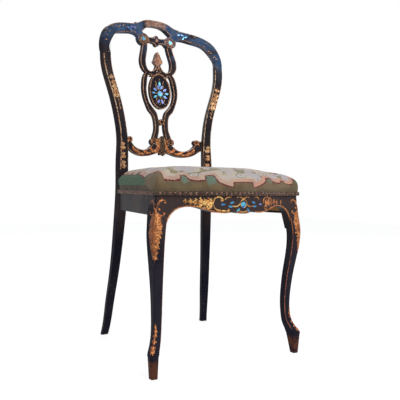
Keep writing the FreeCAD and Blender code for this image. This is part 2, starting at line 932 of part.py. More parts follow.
def corner_block(corner, along, other):
    """Three-sided glue block in the corner between two rails."""
    top = rail_top - block_drop
    a = Vector(corner.x, corner.y, top - block_height)
    points = [a, a + along * block_leg, a + other * block_leg]
    face = Part.Face(Part.makePolygon(points + [points[0]]))
    return face.extrude(Z_AXIS * block_height)


def block_screw(point, direction):
    axis = Vector(direction)
    axis.normalize()
    shank = Part.makeCylinder(screw_radius, screw_length, point, axis)
    head = Part.makeCone(screw_head_radius, screw_radius, screw_head, point, axis)
    return shank.fuse(head).removeSplitter()


# Mother-of-pearl slips. Each row: x share, z share, length share, width share, turn in degrees.
plaque_slip_shares = (
    (0.0, -0.12, 0.0, 0.0, 0.0),
    (0.0, 0.42, 0.34, 0.13, 90.0),
    (-0.16, 0.24, 0.26, 0.11, 125.0),
    (0.16, 0.24, 0.26, 0.11, 55.0),
    (-0.46, 0.10, 0.26, 0.12, 150.0),
    (0.46, 0.10, 0.26, 0.12, 30.0),
    (-0.62, -0.10, 0.24, 0.11, 180.0),
    (0.62, -0.10, 0.24, 0.11, 0.0),
    (-0.46, -0.30, 0.26, 0.12, 210.0),
    (0.46, -0.30, 0.26, 0.12, 330.0),
    (-0.17, -0.56, 0.28, 0.12, 245.0),
    (0.17, -0.56, 0.28, 0.12, 295.0),
)
crest_slip_places = (
    (0.52, 0.70, 20.0), (0.46, 0.74, -25.0), (0.475, 0.66, 60.0), (0.40, 0.74, 5.0),
)
apron_slip_shares = (
    (0.17, 0.40, 12.0), (0.15, 0.62, -18.0), (0.26, 0.52, 0.0), (0.07, 0.20, -40.0),
)


def petal(x, z, length, width, turn):
    """Pointed leaf outline made of two arcs, run through as a prism."""
    a = math.radians(turn)
    along = Vector(math.cos(a), 0, math.sin(a)) * (length / 2)
    across = Vector(-math.sin(a), 0, math.cos(a)) * (width / 2)
    middle = Vector(x, 0, z)
    one = Part.Arc(middle - along, middle + across, middle + along).toShape()
    two = Part.Arc(middle + along, middle - across, middle - along).toShape()
    return Part.Wire([one, two])


def medallion_slips():
    layer = slab(splat_set_back - slip_proud, slip_thickness)
    pieces = []
    for x, z, length, width, turn in plaque_slip_shares:
        cx = x * plaque_half_width
        cz = plaque_z + z * plaque_half_height
        if length == 0.0:
            body = disc(cx, cz, plaque_rose_radius)
        else:
            body = prism(petal(cx, cz, length * plaque_half_height, width * plaque_half_height, turn))
        pieces.append(body.common(layer))
    return pieces


def crest_slips():
    layer = slab(-slip_proud, slip_thickness)
    pieces = []
    for x, z, turn in crest_slip_places:
        cx = x * shoulder_x
        cz = between(post_top, crest_apex, z)
        body = prism(petal(cx, cz, crest_slip_length, crest_slip_width, turn))
        pieces.extend(both_sides(body.common(layer)))
    eye = disc(scroll_x, scroll_z, scroll_radius * 0.30).common(layer)
    pieces.extend(both_sides(eye))
    return pieces


def apron_slips():
    outer = plan_prism(apron_knee, rail_top, -slip_proud)
    inner = plan_prism(apron_knee - overrun, rail_top + overrun, slip_thickness - slip_proud)
    skin = outer.cut(inner)
    reach = -Y_AXIS * (seat_front + seat_bow + overrun)
    tall = hem_height - apron_low
    pieces = []
    jewel = Part.Circle(Vector(0, 0, apron_low + tall * 0.5), Y_AXIS, apron_jewel_radius)
    wires = [Part.Wire([jewel.toShape()])]
    for x, z, turn in apron_slip_shares:
        for side in (1, -1):
            wires.append(petal(side * x * seat_half_width, apron_low + z * tall, apron_slip_length,
                               apron_slip_width, turn * side))
    for wire in wires:
        pieces.append(Part.Face(wire).extrude(reach).common(skin))
    return pieces


# Upholstery: a border that swells a little, then a crown whose section is an oval quarter

def cushion(inset, low, high):
    spring = between(low, high, crown_start_share)
    swell = crown_run * crown_swell_share
    wires = [plan_wire(low, inset), plan_wire(low + gimp_width, inset)]
    steps = 6
    last = math.radians(crown_turn)
    for i in range(steps + 1):
        a = last * i / steps
        into = crown_run * (1 - math.cos(a)) ** crown_fullness - swell * math.cos(a)
        z = between(spring, high, math.sin(a) / math.sin(last))
        wires.append(plan_wire(z, inset + into, max(into, 0.0) * crown_round_share))
    return loft(wires)


def web_layout():
    """Places of the long straps across, and of the cross straps from front to back."""
    long_places = [between(-1, 1, i / 3) * seat_rear_half_width * 0.70 for i in range(4)]
    cross_places = [between(-seat_front, seat_rear, s) for s in (0.17, 0.38, 0.59, 0.80)]
    return long_places, cross_places


def webbing(post):
    inside = plan_prism(rail_top, rail_top + 2 * web_thickness, side_rail_thickness * 0.35)
    reach = 2 * seat_half_width
    long_places, cross_places = web_layout()
    long_straps = []
    cross_straps = []
    for x in long_places:
        strap = Part.makeBox(web_width, reach + seat_front, web_thickness,
                             Vector(x - web_width / 2, -seat_front - seat_bow, rail_top))
        long_straps.append(largest(strap.common(inside).cut(both_sides(post))))
    for y in cross_places:
        strap = Part.makeBox(reach, web_width, web_thickness,
                             Vector(-reach / 2, y - web_width / 2, rail_top + web_thickness))
        cross_straps.append(largest(strap.common(inside).cut(both_sides(post))))
    return long_straps, cross_straps


def tack(point):
    return Part.makeCylinder(tack_radius, tack_head, point)


def webbing_tacks(long_straps, cross_straps):
    tacks = []
    rows = 3
    for straps, along_y in ((long_straps, True), (cross_straps, False)):
        z = rail_top + (1 if along_y else 2) * web_thickness
        for strap in straps:
            box = strap.optimalBoundingBox(False, False)
            for i in range(rows):
                share = (i + 0.5) / rows
                if along_y:
                    x = between(box.XMin, box.XMax, share)
                    front, _ = front_curve_point(x, -side_rail_thickness * 0.35 - 2 * tack_radius)
                    spots = [(x, front.y), (x, box.YMax - 2 * tack_radius)]
                else:
                    y = between(box.YMin, box.YMax, share)
                    side = side_x(y, side_rail_thickness * 0.35 + 2 * tack_radius)
                    spots = [(side, y), (-side, y)]
                for x, y in spots:
                    tacks.append(tack(Vector(x, y, z)))
    return tacks


def side_x(y, inset):
    share = (y + seat_front) / (seat_rear + seat_front)
    return between(seat_half_width, seat_rear_half_width, share) - inset


def nail(point, normal):
    """Domed head whose flat base lies on point, facing along normal."""
    low = math.degrees(math.acos(nail_radius / nail_sphere))
    sink = math.sqrt(nail_sphere ** 2 - nail_radius ** 2)
    return Part.makeSphere(nail_sphere, point - normal * sink, normal, low, 90, 360)


def row_of_nails(points):
    """Nails at an even pitch along a run of (point, normal) stations."""
    lengths = [0.0]
    for (a, _), (b, _) in zip(points, points[1:]):
        lengths.append(lengths[-1] + (b - a).Length)
    count = max(int(round(lengths[-1] / nail_pitch)), 1)
    nails = []
    for i in range(count):
        goal = lengths[-1] * (i + 0.5) / count
        j = 0
        while lengths[j + 1] < goal:
            j += 1
        share = (goal - lengths[j]) / (lengths[j + 1] - lengths[j])
        point = between(points[j][0], points[j + 1][0], share)
        normal = between(points[j][1], points[j + 1][1], share)
        normal.normalize()
        nails.append(nail(point, normal))
    return nails


def hem_line():
    """Outline on which the nails sit, split into front, side and rear edges."""
    z = hem_height + nail_radius * 0.9
    out = 2 * cover_gap + cover_thickness + gimp_thickness
    wire = plan_wire(z, -out)
    return z, wire


def edge_stations(edge, steps=60):
    rows = []
    first, last = edge.ParameterRange
    for i in range(steps + 1):
        t = between(first, last, i / steps)
        point = edge.valueAt(t)
        tangent = edge.tangentAt(t)
        normal = Vector(tangent.y, -tangent.x, 0)
        normal.normalize()
        centre = Vector(0, (seat_rear - seat_front) / 2, point.z)
        if normal.dot(point - centre) < 0:
            normal = -normal
        rows.append((point, normal))
    return rows


def joined_stations(edges):
    rows = []
    for edge in edges:
        part = edge_stations(edge)
        if rows and (part[0][0] - rows[-1][0]).Length > (part[-1][0] - rows[-1][0]).Length:
            part.reverse()
        rows.extend(part if not rows else part[1:])
    return rows


# Assembly

nodes = {}

solid_post = rear_post()
post_clear = rear_post(post_gap)
leg = front_leg()
crest = crest_rail()
shell = rail_shell()
leaf = splat_leaf()
boss = splat_boss()
plaque = splat_medallion()
bar = splat_top_bar(crest)
low_rail = lower_back_rail(solid_post, shell)
frame = splat_frame(crest, low_rail, plaque, bar, boss, shell)
leaf = largest(leaf.cut(frame))
rosette = splat_rosette()
front = front_rail(leg)
rear = rear_rail(solid_post)
side = largest(side_rail(leg, solid_post).cut(front).cut(rear))

# Mortises follow from the tenons
leg = leg.cut([front, side])
left_leg = mirrored(leg)
post = solid_post.cut([low_rail, side, rear])
left_side = mirrored(side)

# Dowels between posts and crest, splat and crest, splat and lower rail, bar and crest
crest_pins = both_sides(dowel(Vector(shoulder_x, shoulder_y, post_top), Z_AXIS, dowel_radius,
                              dowel_length))
lyre_top = placed(lyre_shares[:1], splat_half, splat_low, splat_high, strap_width)[0]
strap_foot = placed(loop_shares[-2:-1], splat_half, splat_low, splat_high, strap_width)[0]
splat_pins = []
upper_z = scroll_z - scroll_radius
splat_pins += both_sides(dowel(on_back(lyre_top[0], upper_z, splat_set_back + splat_depth / 2),
                               Z_AXIS, pin_radius, pin_length))
splat_pins += both_sides(dowel(on_back(strap_foot[0], curl_z + curl_radius,
                                       splat_set_back + splat_depth / 2), Z_AXIS, pin_radius, pin_length))
splat_pins += both_sides(dowel(on_back(scroll_x - scroll_radius, scroll_z,
                                       splat_set_back + splat_depth / 2), X_AXIS, pin_radius, pin_length))
crest = crest.cut(crest_pins + splat_pins)
post = post.cut(crest_pins)
frame = frame.cut(splat_pins)
bar = bar.cut(splat_pins)
low_rail = low_rail.cut(splat_pins)

plaque_top = on_back(0.0, plaque_z + plaque_half_height, splat_set_back + plaque_depth / 2)
plaque_pins = [dowel(plaque_top, Z_AXIS, pin_radius * 0.8, pin_length)]
plaque = plaque.cut(plaque_pins)
frame = frame.cut(plaque_pins)
leaf = leaf.cut(plaque_pins)

# Inlay is let into its ground
slips_plaque = medallion_slips()
slips_crest = crest_slips()
slips_apron = apron_slips()
plaque = plaque.cut(slips_plaque)
crest = crest.cut(slips_crest)
front = front.cut(slips_apron)

# Corner blocks
line = side_direction()
across = Vector(line.y, -line.x, 0)
front_corner = Vector(seat_half_width - side_rail_thickness, -seat_front + front_rail_thickness, 0)
rear_corner = Vector(seat_rear_half_width - side_rail_thickness, seat_rear - rear_rail_thickness, 0)
block_front = corner_block(front_corner, -X_AXIS, line)
block_rear = corner_block(rear_corner, -X_AXIS, -line)
block_front = largest(block_front.cut(front).cut(side).cut(leg))
block_rear = largest(block_rear.cut(rear).cut(side).cut(post))
screw_z = rail_top - block_drop - block_height / 2
screws = []
for corner, sign in ((front_corner, 1), (rear_corner, -1)):
    start = corner - X_AXIS * (block_leg * 0.62)
    start.z = screw_z
    start.y = corner.y + sign * block_leg * 0.25
    screws.append(block_screw(start, Vector(0, -sign, 0)))
    start = corner + line * (sign * block_leg * 0.62) - across * (block_leg * 0.25)
    start.z = screw_z
    screws.append(block_screw(start, across))
block_front = block_front.cut(screws)
block_rear = block_rear.cut(screws)
front = front.cut(screws + [mirrored(s) for s in screws])
rear = rear.cut(screws + [mirrored(s) for s in screws])
side = side.cut(screws)
left_side = mirrored(side)

# Upholstery
posts_clear = both_sides(post_clear)
long_straps, cross_straps = webbing(post_clear)
tacks = webbing_tacks(long_straps, cross_straps)
hessian_z = rail_top + 2 * web_thickness + tack_head
hessian = plan_prism(hessian_z, hessian_z + hessian_thickness, hessian_inset).cut(posts_clear)
outer = cushion(-(cover_gap + cover_thickness), hem_height, crown_height)
inner = cushion(-cover_gap, hem_height - overrun, crown_height - cover_thickness)
cover = largest(outer.cut(inner).cut(posts_clear))
keep = plan_prism(hessian_z + hessian_thickness, crown_height + overrun, -overrun)
stuffing = largest(inner.common(keep).cut(posts_clear))

gimp_low = hem_height - gimp_drop
gimp_in = 2 * cover_gap + cover_thickness
gimp = plan_prism(gimp_low, gimp_low + gimp_width, -gimp_in - gimp_thickness)
gimp = gimp.cut(plan_prism(gimp_low - overrun, gimp_low + gimp_width + overrun, -gimp_in))
gimp = gimp.cut(posts_clear)
gimp = [s for s in gimp.Solids if s.Volume > gimp_width * gimp_thickness * gimp_width]

z_nails, hem = hem_line()
edges = hem.Edges
front_nails = row_of_nails(joined_stations([edges[9], edges[0], edges[1]]))
right_nails = row_of_nails(edge_stations(edges[3]))
rear_nails = row_of_nails(edge_stations(edges[5]))


def clear_of_posts(nails):
    kept = []
    for head in nails:
        box = head.BoundBox
        near = post_section(seat_post_x, seat_post_y, box.Center.z, post_width * 1.04, post_depth, 13.0,
                            0.0, nail_radius * 0.4)
        if Part.Face(near).distToShape(head)[0] > post_gap:
            mirror_near = mirrored(Part.Face(near))
            if mirror_near.distToShape(head)[0] > post_gap:
                kept.append(head)
    return kept


front_nails = clear_of_posts(front_nails)
right_nails = clear_of_posts(right_nails)
rear_nails = clear_of_posts(rear_nails)

nodes["rear_post_right"] = [post]
nodes["rear_post_left"] = [mirrored(post)]
nodes["crest_rail"] = [crest]
nodes["splat_top_bar"] = [bar]
nodes["splat_rosette"] = [rosette]
nodes["splat_frame"] = [frame]
nodes["splat_leaf"] = [leaf]
nodes["splat_medallion"] = [plaque]
nodes["splat_boss"] = [boss]
nodes["lower_back_rail"] = [low_rail]
nodes["rail_shell"] = [shell]
nodes["front_rail"] = [front]
nodes["side_rail_right"] = [side]
nodes["side_rail_left"] = [left_side]
nodes["rear_rail"] = [rear]
nodes["front_leg_right"] = [leg]
nodes["front_leg_left"] = [left_leg]
nodes["corner_block_front_right"] = [block_front]
nodes["corner_block_front_left"] = [mirrored(block_front)]
nodes["corner_block_rear_right"] = [block_rear]
nodes["corner_block_rear_left"] = [mirrored(block_rear)]
nodes["block_screws"] = screws + [mirrored(s) for s in screws]
nodes["crest_dowels"] = crest_pins
nodes["splat_dowels"] = splat_pins
nodes["medallion_pins"] = plaque_pins
nodes["crest_slips"] = slips_crest
nodes["medallion_slips"] = slips_plaque
nodes["apron_slips"] = slips_apron
nodes["webbing_long"] = long_straps
nodes["webbing_cross"] = cross_straps
nodes["webbing_tacks"] = tacks
nodes["hessian"] = [hessian]
nodes["seat_stuffing"] = [stuffing]
nodes["seat_cover"] = [cover]
nodes["seat_gimp"] = gimp
nodes["nails_front"] = front_nails
nodes["nails_right"] = right_nails
nodes["nails_left"] = [mirrored(n) for n in right_nails]
nodes["nails_rear"] = rear_nails

# The origin is on the floor, under the middle of the chair's box
outermost = Part.makeCompound([crest, post, mirrored(post), leg, left_leg] + front_nails)
box = outermost.optimalBoundingBox(False, False)
shift = Vector(-(box.XMin + box.XMax) / 2, -(box.YMin + box.YMax) / 2, -box.ZMin)

for name, shapes in nodes.items():
    solids = []
    for shape in shapes:
        solids.extend(shape.Solids)
    body = solids[0] if len(solids) == 1 else Part.makeCompound(solids)
    body.translate(shift)
    bad = [s for s in solids if not s.isValid() or s.Volume <= 0]
    print(name, len(solids), "solids", round(body.Volume), "mm3", "BAD" if bad else "")
    body.exportStep("parts/" + name + ".step")

print("box", box, "shift", shift)
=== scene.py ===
import math
import random

import bmesh
import bpy
import numpy as np
from mathutils import Matrix, Vector
from mathutils.bvhtree import BVHTree


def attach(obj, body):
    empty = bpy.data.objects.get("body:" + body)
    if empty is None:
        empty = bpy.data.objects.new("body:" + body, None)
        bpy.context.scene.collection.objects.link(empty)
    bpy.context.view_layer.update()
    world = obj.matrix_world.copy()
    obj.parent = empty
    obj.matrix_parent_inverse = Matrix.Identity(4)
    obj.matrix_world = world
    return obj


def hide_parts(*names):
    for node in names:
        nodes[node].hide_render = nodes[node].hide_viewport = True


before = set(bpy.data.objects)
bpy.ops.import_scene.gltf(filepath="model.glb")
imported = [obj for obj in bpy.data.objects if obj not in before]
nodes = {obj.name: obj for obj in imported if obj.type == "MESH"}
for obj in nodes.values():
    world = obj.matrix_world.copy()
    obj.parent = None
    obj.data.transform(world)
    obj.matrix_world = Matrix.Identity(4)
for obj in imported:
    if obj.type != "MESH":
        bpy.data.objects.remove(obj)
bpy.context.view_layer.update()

MM = 0.001
# The drawn outlines below use y = 0 at the middle of the seat frame
DRAFT_Y = 19.390
# How much the seat's half width falls with each length towards the back
SIDE_TAPER = 0.1627
rng = random.Random(7)


# Shader building

class Shader:
    """A material with a principled shader and short calls for its nodes."""

    def __init__(self, name):
        self.material = bpy.data.materials.new(name)
        self.material.use_nodes = True
        self.tree = self.material.node_tree
        self.surface = self.tree.nodes["Principled BSDF"]
        self.where = self.add("ShaderNodeTexCoord").outputs["Object"]

    def add(self, kind, inputs=None, **settings):
        node = self.tree.nodes.new(kind)
        for key, value in settings.items():
            setattr(node, key, value)
        for key, value in (inputs or {}).items():
            self.feed(node.inputs[key], value)
        return node

    def feed(self, socket, value):
        if isinstance(value, bpy.types.NodeSocket):
            self.tree.links.new(value, socket)
        elif isinstance(value, (tuple, list)) and len(value) == 3 and len(socket.default_value) == 4:
            socket.default_value = (*value, 1.0)
        else:
            socket.default_value = value

    def set(self, **values):
        for key, value in values.items():
            self.feed(self.surface.inputs[key.replace("_", " ")], value)

    def noise(self, scale, detail=3.0, rough=0.55, warp=0.0, where=None):
        inputs = {"Vector": where or self.where, "Scale": scale, "Detail": detail, "Roughness": rough,
                  "Distortion": warp}
        return self.add("ShaderNodeTexNoise", inputs).outputs["Fac"]

    def patches(self, scale, low, high, detail=3.0, rough=0.55, where=None):
        return self.ramp(self.noise(scale, detail, rough, where=where), low, high)

    def cells(self, scale, feature="F1", out="Distance", where=None):
        return self.add("ShaderNodeTexVoronoi", {"Vector": where or self.where, "Scale": scale},
                        feature=feature).outputs[out]

    def math(self, operation, a, b=0.0, c=0.0, clamp=False):
        node = self.add("ShaderNodeMath", {0: a, 1: b, 2: c}, operation=operation, use_clamp=clamp)
        return node.outputs[0]

    def times(self, *values):
        found = values[0]
        for value in values[1:]:
            found = self.math("MULTIPLY", found, value)
        return found

    def minus(self, a, b):
        return self.math("SUBTRACT", a, b)

    def line(self, value, slope, start):
        return self.math("MULTIPLY_ADD", value, slope, start)

    def size(self, value):
        return self.math("ABSOLUTE", value)

    def ramp(self, value, low, high):
        """0 below low, 1 above high, smooth between."""
        return self.add("ShaderNodeMapRange", {"Value": value, "From Min": low, "From Max": high},
                        interpolation_type="SMOOTHSTEP").outputs["Result"]

    def mix(self, share, a, b):
        node = self.add("ShaderNodeMix", {"Factor": share}, data_type="RGBA")
        self.feed(node.inputs[6], a)
        self.feed(node.inputs[7], b)
        return node.outputs[2]

    def axes(self, where=None):
        return self.add("ShaderNodeSeparateXYZ", {0: where or self.where}).outputs

    def weave(self, where, pitch):
        x, y, _ = self.axes(where)
        return self.times(*(self.math("SINE", self.times(along, math.tau / pitch)) for along in (x, y)))

    def facing(self):
        return self.axes(self.add("ShaderNodeNewGeometry").outputs["Normal"])

    def scaled(self, x, y, z, turn=(0.0, 0.0, 0.0)):
        return self.add("ShaderNodeMapping", {"Vector": self.where, "Scale": (x, y, z),
                                              "Rotation": turn}).outputs["Vector"]

    def bump(self, height, strength, distance=0.001, over=None):
        inputs = {"Height": height, "Strength": strength, "Distance": distance}
        if over is not None:
            inputs["Normal"] = over
        out = self.add("ShaderNodeBump", inputs).outputs["Normal"]
        self.feed(self.surface.inputs["Normal"], out)
        return out


def lacquer(name):
    """Black over brown, rubbed through: bluer up the back, bare at the crest's top and at the toes."""
    s = Shader(name)
    x, y, z = s.axes()
    facing = s.facing()
    broad = s.patches(9.0, 0.40, 0.66)
    base = s.mix(broad, (0.019, 0.016, 0.021), (0.043, 0.032, 0.032))
    lower_legs = s.mix(broad, (0.011, 0.011, 0.020), (0.024, 0.021, 0.030))
    base = s.mix(s.ramp(z, 0.36, 0.24), base, lower_legs)
    # Painted sheen: faces turned to the front, between the legs' middle and the seat rails, are made lighter
    # brown
    front = s.times(s.ramp(facing[1], -0.55, -0.95), s.ramp(z, 0.46, 0.36), s.ramp(z, 0.24, 0.36))
    base = s.mix(s.times(front, 0.85), base, (0.060, 0.041, 0.039))

    higher = s.line(s.math("MAXIMUM", x, -0.05), 0.3, z)
    blue = s.times(s.ramp(higher, 0.740, 0.82), s.patches(24.0, 0.36, 0.56, 4.0, 0.6), 0.85)
    blues = s.mix(s.patches(70.0, 0.4, 0.62), (0.040, 0.088, 0.185), (0.078, 0.125, 0.205))
    base = s.mix(blue, base, blues)

    fine = s.patches(170.0, 0.60, 0.72, 4.0, 0.62)
    patch = s.patches(22.0, 0.46, 0.66, 2.0)
    colour = s.mix(s.times(fine, patch, 0.55), base, (0.24, 0.13, 0.075))
    arch = s.times(s.ramp(z, 0.852, 0.868), s.ramp(s.size(x), 0.040, 0.026),
                   s.patches(120.0, 0.34, 0.46, 4.0, 0.65))
    gesso = s.mix(s.patches(90.0, 0.4, 0.62), (0.40, 0.25, 0.19), (0.24, 0.12, 0.08))
    colour = s.mix(arch, colour, gesso)
    toe = s.times(s.ramp(z, 0.046, 0.032), s.ramp(y, -0.10, -0.14),
                  s.patches(60.0, 0.36, 0.52, 4.0, 0.6))
    colour = s.mix(toe, colour, (0.105, 0.040, 0.024))

    # The rails' bare inside: within the seat frame's plan and at its height
    inside = s.minus(s.line(y, -SIDE_TAPER, 0.1562), s.size(x))
    behind = s.minus(y, s.line(s.times(x, x), 1.05, -0.2086))
    within = s.math("MINIMUM", s.math("MINIMUM", inside, behind), s.minus(0.1285, y))
    bare = s.times(s.ramp(within, -0.001, 0.001), s.ramp(facing[2], -0.5, -0.3),
                   s.ramp(z, 0.345, 0.346), s.ramp(z, 0.412, 0.410))
    grain = s.noise(2.0, 4.0, 0.6, 0.5, s.scaled(14.0, 14.0, 90.0))
    wood = s.mix(s.ramp(grain, 0.36, 0.64), srgb(150, 108, 70), srgb(186, 146, 102))
    rough = s.math("MAXIMUM", s.line(s.noise(60.0, 4.0), 0.26, 0.24), s.times(bare, 0.7))
    s.set(Base_Color=s.mix(bare, colour, wood), Roughness=rough, Specular_IOR_Level=0.022)
    crackle = s.ramp(s.cells(260.0, "DISTANCE_TO_EDGE"), 0.0, 0.06)
    s.bump(s.noise(30.0, 2.0), 0.25, 0.0012, s.bump(crackle, 0.10, 0.0003))
    return s.material


def gilt(name, bright, dull, worn, wear=0.56, metal=0.55, rough=0.42):
    s = Shader(name)
    tone = s.patches(70.0, 0.35, 0.68)
    colour = s.mix(tone, bright, dull)
    wear_and_crease_shade = s.ramp(s.noise(190.0, 4.0, 0.65), wear, wear + 0.07)
    # Painted shade: dark lines along cell edges stand for the shade in the carving's crevices, mixed in with
    # the rubbed-off wear
    painted_crease_shade = s.ramp(s.cells(150.0, "DISTANCE_TO_EDGE"), 0.09, 0.025)
    wear_and_crease_shade = s.math("MAXIMUM", wear_and_crease_shade, s.times(painted_crease_shade, 0.85))
    # Painted shade: faces turned sideways, along x, are made darker and duller than those facing front
    painted_side_shade = s.ramp(s.size(s.facing()[0]), 0.45, 0.85)
    colour = s.mix(s.times(painted_side_shade, 0.75), colour, tuple(c * 0.62 for c in dull))
    s.set(Base_Color=s.mix(wear_and_crease_shade, colour, worn), Metallic=metal, Roughness=rough)
    s.bump(s.noise(320.0, 3.0), 0.6, 0.0008)
    return s.material


def plain_cloth(name, light, dark, pitch, strength):
    """An open weave: threads along x and y, seen from above or below."""
    s = Shader(name)
    weave = s.weave(s.where, pitch)
    tone = s.math("ADD", s.ramp(weave, -1.0, 1.0), s.times(s.noise(45.0), 0.6))
    s.set(Base_Color=s.mix(s.ramp(tone, 0.3, 1.3), dark, light), Roughness=0.9)
    s.bump(weave, strength, 0.0008)
    return s.material


def raw_wood(name, light, dark, turn=(0.0, 0.0, 0.0)):
    s = Shader(name)
    along = s.scaled(12.0, 90.0, 90.0, turn)
    grain = s.noise(1.6, 5.0, 0.62, 0.6, along)
    s.set(Base_Color=s.mix(s.ramp(grain, 0.34, 0.66), dark, light), Roughness=0.66)
    s.bump(grain, 0.35, 0.0008)
    return s.material


def metal(name, colour, dark, rough):
    s = Shader(name)
    patina = s.patches(240.0, 0.40, 0.66, 4.0, 0.6)
    s.set(Base_Color=s.mix(patina, colour, dark), Metallic=0.85, Roughness=s.line(patina, 0.25, rough))
    s.bump(s.noise(500.0, 2.0), 0.18, 0.0004)
    return s.material


def pearl():
    """Slips of shell: each one a hue of its own, with a streaky glow."""
    s = Shader("pearl_shell")
    hue = s.cells(46.0, "F1", "Color")
    pick, other, _ = s.axes(hue)
    colour = s.mix(s.ramp(pick, 0.25, 0.75), srgb(16, 112, 176), srgb(84, 186, 206))
    colour = s.mix(s.ramp(other, 0.60, 0.80), colour, srgb(112, 108, 188))
    streak = s.noise(1.0, 3.0, 0.6, 0.8, s.scaled(150.0, 150.0, 420.0))
    colour = s.mix(s.times(s.ramp(streak, 0.42, 0.62), 0.6), colour, srgb(56, 166, 214))
    colour = s.mix(s.ramp(streak, 0.62, 0.74), colour, srgb(170, 220, 222))
    s.set(Base_Color=colour, Metallic=0.25, Roughness=0.24, Coat_Weight=0.5, Coat_Roughness=0.08)
    s.bump(streak, 0.25, 0.0004)
    return s.material


def srgb(red, green, blue):
    shares = (value / 255 for value in (red, green, blue))
    return tuple(c / 12.92 if c <= 0.04 else ((c + 0.055) / 1.055) ** 2.4 for c in shares)


LACQUER = lacquer("black_lacquer")
COPPER = gilt("copper_gilding", srgb(224, 146, 84), srgb(150, 78, 34), (0.024, 0.016, 0.013), 0.58)
YELLOW = gilt("yellow_gilding", srgb(240, 190, 112), srgb(188, 122, 58), (0.028, 0.018, 0.013), 0.60)
PALE = gilt("pale_gilding", srgb(226, 180, 128), srgb(176, 116, 70), (0.028, 0.020, 0.018), 0.55)
LINE = gilt("line_gilding", srgb(206, 158, 120), srgb(160, 104, 70), (0.030, 0.020, 0.016), 0.54)
APRON_LINE = gilt("apron_line_gilding", srgb(226, 150, 88), srgb(182, 104, 54), (0.034, 0.020, 0.014), 0.60)
LEG_LINE = gilt("leg_line_gilding", srgb(190, 108, 70), srgb(128, 70, 48), (0.032, 0.020, 0.016), 0.57)
NAIL = metal("nail_brass", srgb(112, 84, 74), srgb(42, 30, 28), 0.30)


STITCH = 0.0018
# The field's outlines reach this far to each side, in mm
ACROSS = 280


